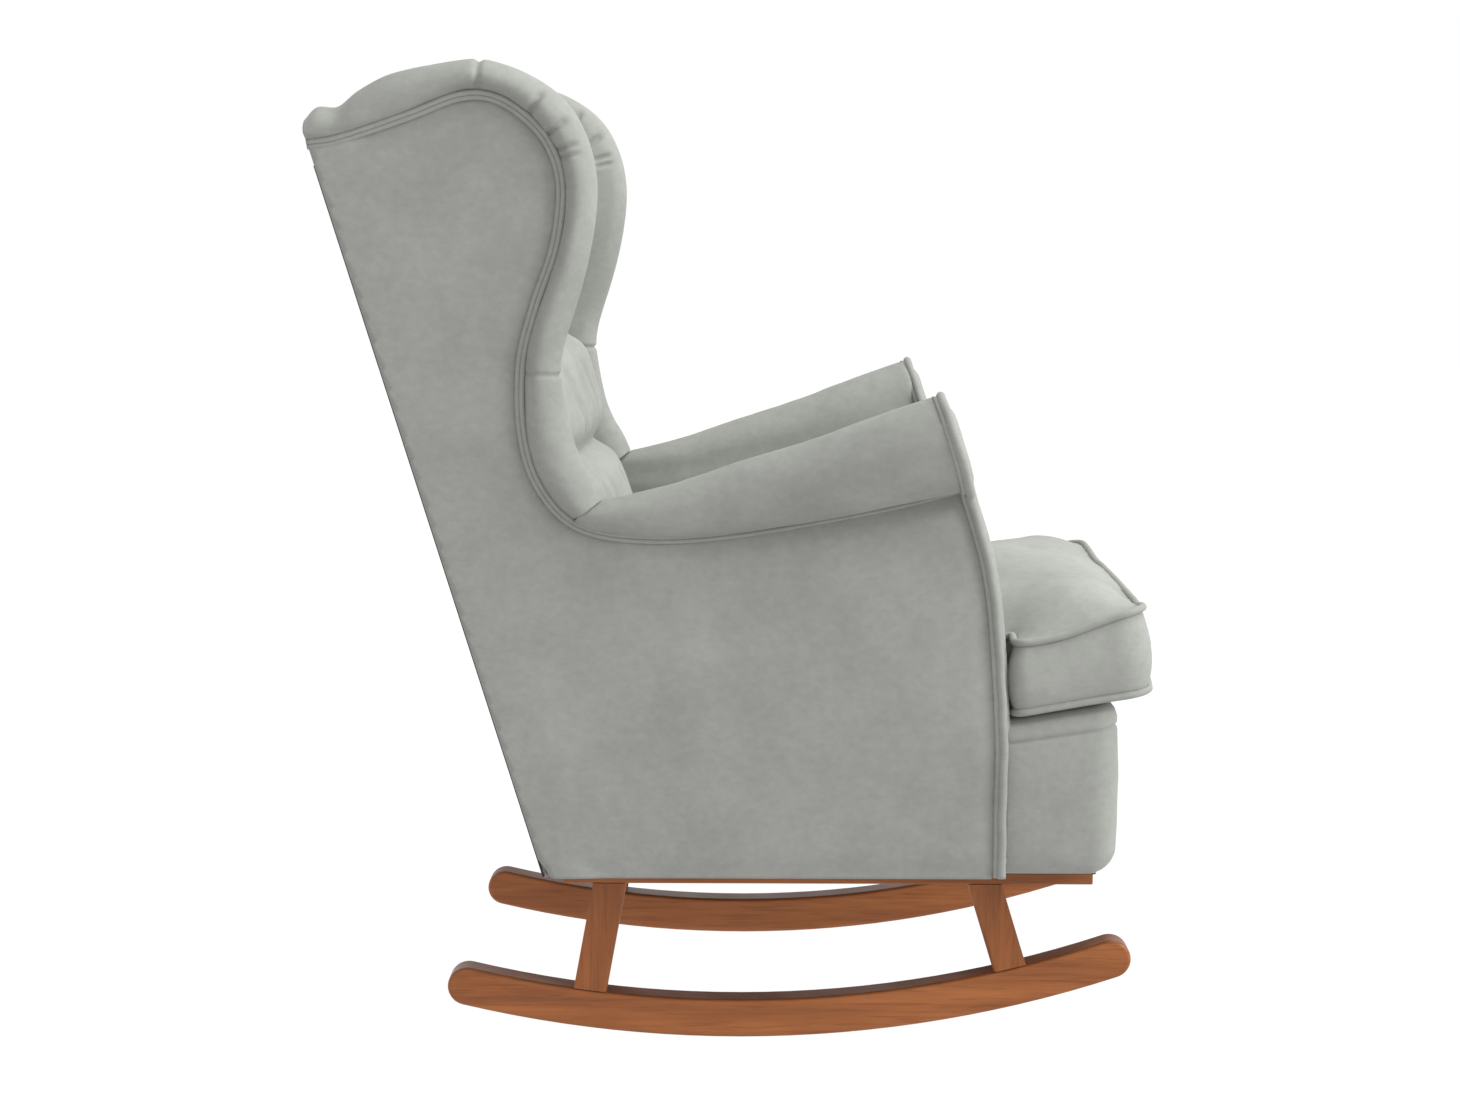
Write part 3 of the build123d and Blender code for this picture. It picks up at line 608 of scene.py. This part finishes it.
def arm_roll(side, sign):
    """Scroll arm: a roll that grows towards the front and turns down inside the arm."""
    stations = 110
    ring = 64
    top = curve(arm_top, 200)[::-1]
    low = curve(arm_low, 200)[::-1]
    points = []
    for along in np.linspace(-0.02, 1, stations):
        s = max(along, 0.0)
        y = 150 - 350 * along
        z_top = np.interp(y, top[:, 0], top[:, 1])
        z_low = np.interp(y, low[:, 0], low[:, 1])
        outer = 311 + 59 * ease(s * 0.9 + 0.05) ** 0.9
        inner = 264 - 1.5 * s + 6 * ease((s - 0.7) / 0.3)
        # The end closes with a small rounded edge under the piping
        shrink = 3.5 * ease((s - 0.985) / 0.015) + 2.6 * ease((0.006 - along) / 0.012)
        c_x = (outer + inner) / 2
        half_x = (outer - inner) / 2 - shrink
        c_z = (z_top + z_low) / 2
        half_z = (z_top - z_low) / 2 - shrink
        start = -math.acos(np.clip((297 - c_x) / half_x, -1, 1))
        loop = []
        for a in np.linspace(start, math.pi, 26):
            # Part of an ellipse, from under the outer side round it and over the top
            loop.append((c_x + half_x * math.cos(a), c_z + half_z * math.sin(a)))
        # Down inside the arm, and back up out of sight
        loop += [(inner - 0.5, c_z - 12), (pad_x - 1.5, c_z - 26), (pad_x, c_z - 52)]
        loop += [(285, c_z - 52), (290, loop[0][1] + 4)]
        section = even(np.vstack([loop, loop[0]]), ring, True)
        for x, z in section:
            reach = s * s * (np.interp(z, arm_front[:, 1], arm_front[:, 0]) + 200)
            reach += (1 - s) ** 6 * (556 - z)
            points.append((sign * x, y + reach, z))
    points = np.array(points)
    lift = 1.1 * ripple(points * (1, 0.5, 1), 55, 21 + sign) + 0.4 * ripple(points, 22, 23 + sign)
    points[:, 2] += lift * ease((points[:, 2] - 540) / 60)
    points[:, 0] += 0.5 * lift * np.sign(points[:, 0] - sign * roll_centre_x)
    piece = make(f"arm_roll_{side}", points, loft_faces(stations, ring), velvet,
                 [f"arm_roll_{side}", f"arm_inner_pad_{side}"])


def arm_inner(side, sign):
    """Padded inside cover of the arm, from the seat up to the roll."""
    top = curve(arm_top, 60)
    low = curve(arm_low, 60)
    middle = (top[:, 1] + np.interp(top[:, 0], low[::-1, 0], low[::-1, 1])) / 2
    upper = np.vstack([(180, 517), np.column_stack([top[:, 0], middle - 36])])
    seen = (arm_front[:, 1] < upper[-1][1] - 6) & (arm_front[:, 1] > deck_z(-258) + 4)
    front = arm_front[seen][::-1] + (2.0, 0)
    rear_y = back_y(deck_z(20), 95)
    deck = [(y, deck_z(y) + 2) for y in np.linspace(front[-1][0] + 6, rear_y, 50)]
    deck_end = deck[-1][1]
    rear = [
        (np.interp(z, (deck_end, 540), (rear_y, 188)), z) for z in np.linspace(deck_end + 8, 512, 30)
    ]
    outline = np.vstack([upper, front, deck, rear])
    flat, triangles, distance, rim = triangulate(outline, weave + 2)
    inner = pad_x + 1.0 - 1.5 * ease(distance / 30)
    face = np.column_stack([sign * inner, flat])
    hidden = np.column_stack([np.full(len(flat), sign * hidden_x), flat])
    points, faces = sheet_shell(face, hidden, triangles, rim)
    piece = make(f"arm_inner_cover_{side}", points, faces, velvet)


def wing_inner(side, sign):
    """Padded inside cover of the wing."""
    wing = wing_edge[8:-2, :2]
    rear = [(back_y(z, 100), z) for z in np.linspace(460, 895, 70)]
    outline = np.vstack([wing, [(148, 520), (165, 480), (225, 440)], rear])
    flat, triangles, distance, rim = triangulate(outline, weave + 1)
    inner = pad_x - 3.5 - 4.5 * ease(distance / 40)
    slack = np.column_stack([flat, np.zeros(len(flat))])
    inner -= 0.8 * ripple(slack, 60, 31 + sign) * ease(distance / 30)
    face = np.column_stack([sign * inner, flat])
    hidden = np.column_stack([np.full(len(flat), sign * hidden_x), flat])
    points, faces = sheet_shell(face, hidden, triangles, rim)
    piece = make(f"wing_inner_cover_{side}", points, faces, velvet,
                 [f"wing_inner_pad_{side}"])


# ---------------------------------------------------------------- front panels of the arms
def keyhole(grow=0.0):
    """Front outline of an arm panel: a straight stem with a round head, from the outer foot up."""
    c_x, c_z = arm_head
    r = arm_head_r + grow
    stem_in = pad_x - grow
    stem_out = side_x + 2 + grow
    neck_z = c_z - r - 22
    low = [(stem_out, z) for z in np.linspace(underside + 2, neck_z, 70)]
    neck = [(stem_out, neck_z), (stem_out + 2, neck_z + 10), (stem_out + 9, neck_z + 19), (c_x, c_z - r)]
    neck = curve(neck, 12)[1:-1]
    head = arc((c_x, c_z), r, -90, 118, 60)
    shoulder = [head[-1], (c_x - 0.84 * r, c_z + 0.56 * r)]
    shoulder += [(stem_in + 1.5, c_z + 2), (stem_in, c_z - 26)]
    shoulder = curve(shoulder, 18)[1:]
    inner = [(stem_in, z) for z in np.linspace(c_z - 34, underside + 2, 90)]
    return np.vstack([low, neck, head, shoulder, inner])


def arm_panel(side, sign):
    """Facing of the arm with the cord around it."""
    outline = even(np.vstack([keyhole(), keyhole()[:1]]), 420, True)
    flat, triangles, distance, rim = triangulate(outline, weave - 1)
    slack = np.column_stack([flat, np.zeros(len(flat))])
    bulge = 1.5 + 9.0 * ease(distance / 17)
    bulge += 0.5 * ripple(slack, 30, 41 + sign) * ease(distance / 15)
    wall = np.interp(flat[:, 1], arm_front[:, 1], arm_front[:, 0])
    face = np.column_stack([sign * flat[:, 0], wall - bulge, flat[:, 1]])
    hidden = np.column_stack([sign * flat[:, 0], wall + 6, flat[:, 1]])
    points, faces = sheet_shell(face, hidden, triangles, rim)
    piece = make(f"arm_facing_{side}", points, faces, velvet_painted_lit,
                 [f"arm_front_panel_{side}"])

    edge = even(keyhole(0.5), 330)
    wall = np.interp(edge[:, 1], arm_front[:, 1], arm_front[:, 0])
    wave = 0.3 * np.sin(np.arange(len(edge)) * 0.43)
    path = np.column_stack([sign * edge[:, 0], wall - 2.2 + wave, edge[:, 1]])
    points, faces = tube(path, 4.3, False, 12)
    make(f"arm_piping_{side}", points, faces, velvet_cord,
         [f"arm_panel_piping_{side}"])


# ---------------------------------------------------------------- front of the seat box
def front_border():
    """Padded band across the front of the seat, around both corners to the arms."""
    front_y = -378.0
    half = 287.0
    corner_r = 26.0
    rear_y = -263.0
    turn_y = front_y + corner_r
    line = [(-half, y) for y in np.linspace(rear_y, turn_y, 12)[:-1]]
    line += arc((-half + corner_r, turn_y), corner_r, 180, 270, 12)
    line += [(x, front_y) for x in np.linspace(-half + corner_r, half - corner_r, 60)[1:-1]]
    line += arc((half - corner_r, turn_y), corner_r, 270, 360, 12)
    line += [(half, y) for y in np.linspace(turn_y, rear_y, 12)[1:]]
    line = even(np.array(line), 200)
    inward = normals_2d(line)
    foot_z = 200.0
    top_z = 351.0
    # Distance inwards and Z
    section = [
        (38, 184.2), (24, 184.4), (14, 186), (7, 190), (2.5, 197), (0, 208), (-1.2, 240),
        (-1.8, 285), (0, 328), (0.2, 335.5), (3.6, 338), (0.6, 340.5), (0.4, 347), (3, 355),
        (11, 362), (28, 365.5), (44, 366), (44, 260),
    ]
    ring = 150
    loop = even(np.vstack([section, section[0]]), ring, True)
    points = []
    for (x, y), (n_x, n_y) in zip(line, inward):
        rise = deck_z(y) - deck_z(front_y)
        front_facing = float(ease((-y - 350) / 25))
        # Around the corners the padding stays on its own side of the turn
        turning = abs(x) > half - corner_r and y < turn_y
        for inset, z in loop:
            share = np.clip((z - foot_z) / (top_z - foot_z), 0, 1)
            reach = min(inset, corner_r - 1) if turning else inset
            if z < 215:
                reach += front_facing * 5 * float(ease((215 - z) / 30)) ** 2
            points.append((x + n_x * reach, y + n_y * reach, z + rise * share))
    points = np.array(points)
    wave = ripple(points * (1, 1, 0.6), 90, 51) * 1.1 + ripple(points, 34, 53) * 0.5
    outward = np.sign(points[:, 0]) * (np.abs(points[:, 0]) > 280)
    points[:, 0] += wave * outward
    points[:, 1] -= wave * (points[:, 1] < -370)
    piece = make("seat_front_band", points, loft_faces(len(line), ring), velvet,
                 ["front_border"])


def seat_deck():
    """Thin padded platform that the loose cushion rests on."""
    half = pad_x + 4.0
    front_y = -357.0
    rear_y = 86.0
    outline = [(x, front_y) for x in np.linspace(-half, half, 60)]
    outline += [(half, y) for y in np.linspace(front_y, rear_y, 50)[1:]]
    outline += [(x, rear_y) for x in np.linspace(half, -half, 60)[1:]]
    outline += [(-half, y) for y in np.linspace(rear_y, front_y, 50)[1:-1]]
    flat, triangles, distance, rim = triangulate(np.array(outline), weave + 3)
    slack = np.column_stack([flat, np.zeros(len(flat))])
    top = deck_z(flat[:, 1]) - 2.5 + 3.0 * ease(distance / 30)
    top -= 0.5 + 0.5 * ripple(slack, 80, 57)
    face = np.column_stack([flat, top])
    hidden = np.column_stack([flat, deck_z(flat[:, 1]) - 8.0])
    points, faces = sheet_shell(face, hidden, triangles, rim)
    piece = make("seat_deck", points, faces, deck_cloth, ["seat_deck_pad"])


# ---------------------------------------------------------------- seat cushion
ear_half = 286.0                   # half width of the part in front of the arms


def cushion_plan():
    """Plan of the T-shaped cushion, counterclockwise from the middle of its front."""
    corner = 27.0
    seat_half = 255.0
    front_y = -400.0
    front = curve([(0, -406), (100, -405.5), (200, -404), (ear_half - corner, front_y)], 40)
    right = arc((ear_half - corner, front_y + corner), corner, -88, 0, 10)[1:]
    side = [(ear_half, y) for y in np.linspace(front_y + corner, -283, 16)[1:]]
    heel = arc((ear_half - 10, -283), 10, 0, 90, 5)[1:]
    notch = arc((seat_half + 5, -268), 5, 270, 180, 5)
    between_arms = [(seat_half, y) for y in np.linspace(-262, 24, 40)]
    rear = arc((seat_half - 20, 24), 20, 0, 90, 6)[1:]
    half = list(front) + right + side + heel + notch + between_arms + rear + [(120, 44)]
    other = [(-x, y) for x, y in half[::-1]]
    outline = np.array(half + [(0, 44)] + other[:-1])
    return even(np.vstack([outline, outline[0]]), 420, True)


def cushion():
    """Loose boxed seat cushion with a crowned top and cord along both edges."""
    plan = cushion_plan()
    inward = normals_2d(np.vstack([plan[-1], plan, plan[0]]))[1:-1]
    x = plan[:, 0]
    y = plan[:, 1]
    ear = ease((np.abs(x) - 255) / 25) * ease((-y - 262) / 10)
    droop = -5.0 * ear * np.exp(-(((y + 296) / 40) ** 2))
    lift = 10.0 * ease((-y - 315) / 80) * ease((np.abs(x) - 180) / 90)
    low = deck_z(y) + 2.0 + piping_rise(y)
    high = deck_z(y) + 82.0 + droop + lift
    high += 0.6 * np.array([noise.noise(Vector((a / 45, b / 45, 3.1))) for a, b in plan])
    spacing = 7.5
    flat, triangles, distance, rim = triangulate(plan, spacing)
    nearest = np.array([np.argmin(np.hypot(*(plan - p).T)) for p in flat])
    fixed = distance <= 1e-6
    crown = 40 * (1 - np.exp(-distance / 24))
    crown = soften(crown, triangles, fixed, 28)
    edge_top = soften(high[nearest], triangles, fixed, 60)
    edge_low = soften(low[nearest], triangles, fixed, 60)
    slack = np.column_stack([flat, np.zeros(len(flat))])
    puckers = np.sin(ripple(slack, 40, 61) * 3 + flat[:, 0] * 0.31 + flat[:, 1] * 0.27)
    top = edge_top + crown
    top += 1.9 * ripple(slack, 70, 63) * ease(distance / 40)
    top += 0.7 * puckers * np.exp(-(((distance - 10) / 9) ** 2)) * ~fixed
    top += 0.8 * ripple(slack, 24, 65) * ease(distance / 20)
    belly = edge_low - 1.5 * ease(distance / 40)
    n = len(flat)
    under = flat - np.column_stack([np.zeros(n), foot_reach(flat)])
    points = [np.column_stack([flat, top]), np.column_stack([under, belly])]
    faces = [tuple(t) for t in triangles]
    faces += [(a + n, c + n, b + n) for a, b, c in triangles]
    count = len(plan)
    levels = 13
    start = 2 * n
    for level in range(levels):
        t = level / (levels - 1)
        room = np.where(np.abs(x) > 262, 1.0, 0.0) * ear + ease((-y - 395) / 10)
        bulge = np.clip(room, 0, 1) * 9.5 * (1 - (2 * t - 1) ** 2) * (1.15 - 0.3 * t)
        bulge = np.where(ear + (y < -395) > 0.2, bulge, 1.0 * (1 - (2 * t - 1) ** 2))
        fold = 0.7 * np.array([noise.noise(Vector((a / 28, b / 28, t * 2.5))) for a, b in plan])
        fold = fold * (1 - (2 * t - 1) ** 2)
        out = plan - inward * (bulge + fold)[:, None]
        out[:, 1] -= foot_reach(plan) * (1 - t)
        points.append(np.column_stack([out, low + (high - low) * t]))
    for level in range(levels - 1):
        a = start + level * count
        b = a + count
        for j in range(count):
            k = (j + 1) % count
            faces.append((a + j, a + k, b + k, b + j))
    points = np.vstack(points)
    piece = make("cushion", points, faces, velvet_painted_lit, ["seat_cushion"], "cushion")
    cords = (("top", high, "cushion_piping_top"), ("bottom", low, "cushion_piping_bottom"))
    for name, height, node in cords:
        path = np.column_stack([plan - inward * 1.6, height + (0.5 if name == "top" else 1.0)])
        if name == "bottom":
            path[:, 1] -= foot_reach(plan)
        points, faces = tube(path, 3.9, True, 12)
        make(f"cushion_cord_{name}", points, faces, velvet_cord, [node], "cushion")


def foot_reach(plan):
    """How far the lower edge of the front stands in front of the upper one."""
    share = ease((-plan[:, 1] - 285) / 100)
    return share * (7.0 + 4.0 * (1 - (plan[:, 0] / ear_half) ** 2))


def piping_rise(y):
    """The lower seam sits above the deck by the cord, a little more at the front."""
    return 4.5 + 2.5 * ease((-y - 270) / 100)


# ---------------------------------------------------------------- tufted back
tuft_rise = 130.0
tuft_step = 120.0
tuft_first = 260.0
tufts = [
    (tuft_step * (column - 1.5 + 0.5 * (row % 2)), tuft_first + tuft_rise * row)
    for row in range(4)
    for column in range(4 - row % 2)
]
back_half = 250.0
hidden_half = 261.5         # the sides of the back flare out to meet the padding of the wings
hidden_level = 96.0
back_bottom = 60.0
back_curl = 706.0
back_level = 174.0          # fullest height of the padding over the rear face
row_dent = 24.0
button_dent = 34.0
side_fall = 24.0            # how far the padding falls off towards its sides


def back_fullness(s):
    """Height of the padding over the rear face, before the tufting pulls it in."""
    return back_level - 12 * float(ease((s - 600) / 110))


def back_relief(x, s):
    """How far the tufting pushes the back's surface in from its fullest height."""
    dent = np.zeros_like(x)
    for row in range(4):
        line = tuft_first + tuft_rise * row
        dent = np.maximum(dent, row_dent * np.exp(-np.abs((s - line) / 19.0) ** 1.7))
    for t_x, t_s in tufts:
        away = np.hypot(x - t_x, s - t_s)
        dent = np.maximum(dent, button_dent * np.exp(-((away / 21.0) ** 1.3)))
    for a_x, a_s in tufts:
        for b_x, b_s in tufts:
            if b_s - a_s == tuft_rise and abs(b_x - a_x) < tuft_step:
                along = np.array([b_x - a_x, b_s - a_s])
                length = np.linalg.norm(along)
                unit = along / length
                t = ((x - a_x) * unit[0] + (s - a_s) * unit[1]) / length
                off = np.abs((x - a_x) * -unit[1] + (s - a_s) * unit[0])
                fold = 4.5 * np.exp(-((off / 12.0) ** 2)) * ease(t * 5) * ease((1 - t) * 5)
                dent = np.maximum(dent, fold)
    return dent


def back_pad():
    """Tufted inside back that curls over the top of the chair, in one piece."""
    face_rows = 230
    columns = 190
    # Up the front of the back, over its top and down behind it
    profile = [(s, back_fullness(s)) for s in np.linspace(back_bottom, back_curl, 60)]
    for a in np.linspace(0.12, math.pi / 2, 16):
        profile.append((back_curl + 75 * math.sin(a), 87 + 80 * math.cos(a)))
    for a in np.linspace(math.pi / 2 + 0.1, math.pi - 0.35, 14):
        profile.append((back_curl + 6 + 69 * math.sin(a), 87 + 86 * math.cos(a)))
    profile = even(np.array(profile), face_rows)
    normal = -normals_2d(profile)
    xs = np.linspace(-back_half, back_half, columns)
    rings = []
    for (s, t), (n_s, n_t) in zip(profile, normal):
        if n_t < 0 and s < back_curl:
            n_s, n_t = -n_s, -n_t
        on_front = float(ease((t - 120) / 40))
        dent = back_relief(xs, np.full(columns, s)) * on_front
        dent = dent + side_fall * (xs / back_half) ** 2 * on_front
        near_side = back_half - np.abs(xs)
        edge_r = 26 - 14 * float(ease((s - back_curl) / 30))
        round_off = edge_r - np.sqrt(edge_r**2 - np.maximum(edge_r - near_side, 0) ** 2)
        foot = 14.0 * float(ease((back_bottom + 40 - s) / 40))
        depth = dent + np.minimum(round_off, 22) + foot
        outward = n_s * (s - min(s, 640)) + n_t * (t - 80) > 0
        way = -1 if outward else 1
        rings.append(np.column_stack([xs, s + way * n_s * depth, t + way * n_t * depth]))
    flat = np.array(rings).reshape(-1, 3)
    outer = on_back(flat[:, 0], flat[:, 1], flat[:, 2])
    soft = 1.4 * ripple(outer, 60, 71) + 0.6 * ripple(outer, 24, 73)
    outer = outer + soft[:, None] * back_forward
    hidden_xs = xs * hidden_half / back_half
    hidden = np.vstack([on_back(hidden_xs, min(s, 690.0), hidden_level) for s, t in profile])
    n = len(outer)
    faces = []
    for i in range(face_rows - 1):
        for j in range(columns - 1):
            a = i * columns + j
            faces.append((a, a + 1, a + columns + 1, a + columns))
            faces.append((n + a, n + a + columns, n + a + columns + 1, n + a + 1))
    loop = list(range(columns))
    loop += [i * columns + columns - 1 for i in range(1, face_rows)]
    loop += [(face_rows - 1) * columns + j for j in range(columns - 2, -1, -1)]
    loop += [i * columns for i in range(face_rows - 2, 0, -1)]
    for a, b in zip(loop, loop[1:] + loop[:1]):
        faces.append((a, b, n + b, n + a))
    piece = make("tufted_back", np.vstack([outer, hidden]), faces, velvet_painted_lit,
                 ["back_cushion", "back_top_roll"])


def back_buttons():
    """Covered buttons that hold the tufts."""
    # Radius and height
    dome = (
        (0.5, 6.0), (4.5, 5.5), (8.0, 4.2), (10.4, 2.2), (11.0, 0.0), (10.0, -2.5), (0.5, -3.0),
    )
    sides = 20
    parts = []
    for x, s in tufts:
        level = back_fullness(s) - side_fall * (x / back_half) ** 2 - button_dent + 1
        rows = []
        for r, h in dome:
            for k in range(sides):
                a = 2 * math.pi * k / sides
                rows.append(on_back(x + r * math.cos(a), s + r * math.sin(a), level + h))
        parts.append((np.array(rows), loft_faces(len(dome), sides)))
    points, faces = join(parts)
    make("back_buttons_covered", points, faces, velvet_cord, ["back_buttons"])


def rear_cover():
    """Plain outside cover of the back."""
    half = side_x - 1.0
    outline = [(x, 3.0) for x in np.linspace(-half + 8, half - 8, 60)]
    outline += [(half, s) for s in np.linspace(10, 766, 90)]
    outline += [(half - 2, 771), (half - 24, 772), (253, 770), (251, 756), (250, 743)]
    outline += [(x, 741.0) for x in np.linspace(246, -246, 60)]
    outline += [(-250, 743), (-251, 756), (-253, 770), (24 - half, 772), (2 - half, 771)]
    outline += [(-half, s) for s in np.linspace(766, 10, 90)]
    flat, triangles, distance, rim = triangulate(np.array(outline), weave + 2)
    slack = np.column_stack([flat, np.zeros(len(flat))])
    out = -0.5 - 2.6 * ease(distance / 22) - 0.8 * ripple(slack, 170, 81) * ease(distance / 60)
    face = on_back(flat[:, 0], flat[:, 1], out)
    hidden = on_back(flat[:, 0], flat[:, 1], np.full(len(flat), 2.6))
    points, faces = sheet_shell(face, hidden, triangles, rim)
    make("rear_panel", points, faces, velvet, ["rear_cover"])


for side, sign in (("left", 1), ("right", -1)):
    side_panel(side, sign)
    side_welt(side, sign)
    wing_roll(side, sign)
    arm_roll(side, sign)
    arm_inner(side, sign)
    wing_inner(side, sign)
    arm_panel(side, sign)
front_border()
seat_deck()
cushion()
back_pad()
back_buttons()
rear_cover()

# ---------------------------------------------------------------- surroundings
floor_mesh = bpy.data.meshes.new("floor")
floor_mesh.from_pydata([(-12, -12, 0), (12, -12, 0), (12, 12, 0), (-12, 12, 0)], [], [(0, 1, 2, 3)])
floor = bpy.data.objects.new("floor", floor_mesh)
bpy.context.scene.collection.objects.link(floor)
floor_material, floor_shader = new_material("floor_white")
floor_shader.inputs["Base Color"].default_value = (0.05, 0.05, 0.05, 1)
floor_shader.inputs["Roughness"].default_value = 0.9
floor_shader.inputs["Emission Color"].default_value = (1, 1, 1, 1)
floor_shader.inputs["Specular IOR Level"].default_value = 0.0
floor_shader.inputs["Emission Strength"].default_value = 1.0
floor_mesh.materials.append(floor_material)

world = bpy.data.worlds.new("studio")
bpy.context.scene.world = world
world.use_nodes = True
background = world.node_tree.nodes["Background"]
background.inputs["Color"].default_value = (1, 1, 1, 1)
background.inputs["Strength"].default_value = 1.0


def area_light(name, place, target, size, power, colour=(0.96, 1.0, 0.965)):
    """A soft box at a place, turned to its target."""
    light = bpy.data.lights.new(name, "AREA")
    light.shape = "RECTANGLE"
    light.size, light.size_y = size
    light.energy = power
    light.color = colour
    lamp = bpy.data.objects.new(name, light)
    lamp.location = place
    aim = Vector(target) - Vector(place)
    lamp.rotation_euler = aim.to_track_quat("-Z", "Y").to_euler()
    bpy.context.scene.collection.objects.link(lamp)


area_light("key", (-1.3, -3.1, 1.9), (0, 0, 0.5), (1.6, 1.6), 105)
area_light("top", (-0.2, -0.9, 3.0), (0, -0.1, 0.5), (1.6, 1.6), 46)

camera_data = bpy.data.cameras.new("camera")
camera_data.lens = 67.9
camera_data.sensor_width = 36
camera_data.clip_end = 100
camera = bpy.data.objects.new("camera", camera_data)
forward = Vector((0.99251, 0.01324, -0.12148)).normalized()
right = Vector((0.01334, -0.99991, 0)).normalized()
up = right.cross(forward)
camera.matrix_world = Matrix((
    (right.x, up.x, -forward.x, -3.0),
    (right.y, up.y, -forward.y, -0.024),
    (right.z, up.z, -forward.z, 0.851),
    (0, 0, 0, 1),
))
bpy.context.scene.collection.objects.link(camera)
bpy.context.scene.camera = camera
bpy.context.scene.view_settings.view_transform = "Standard"
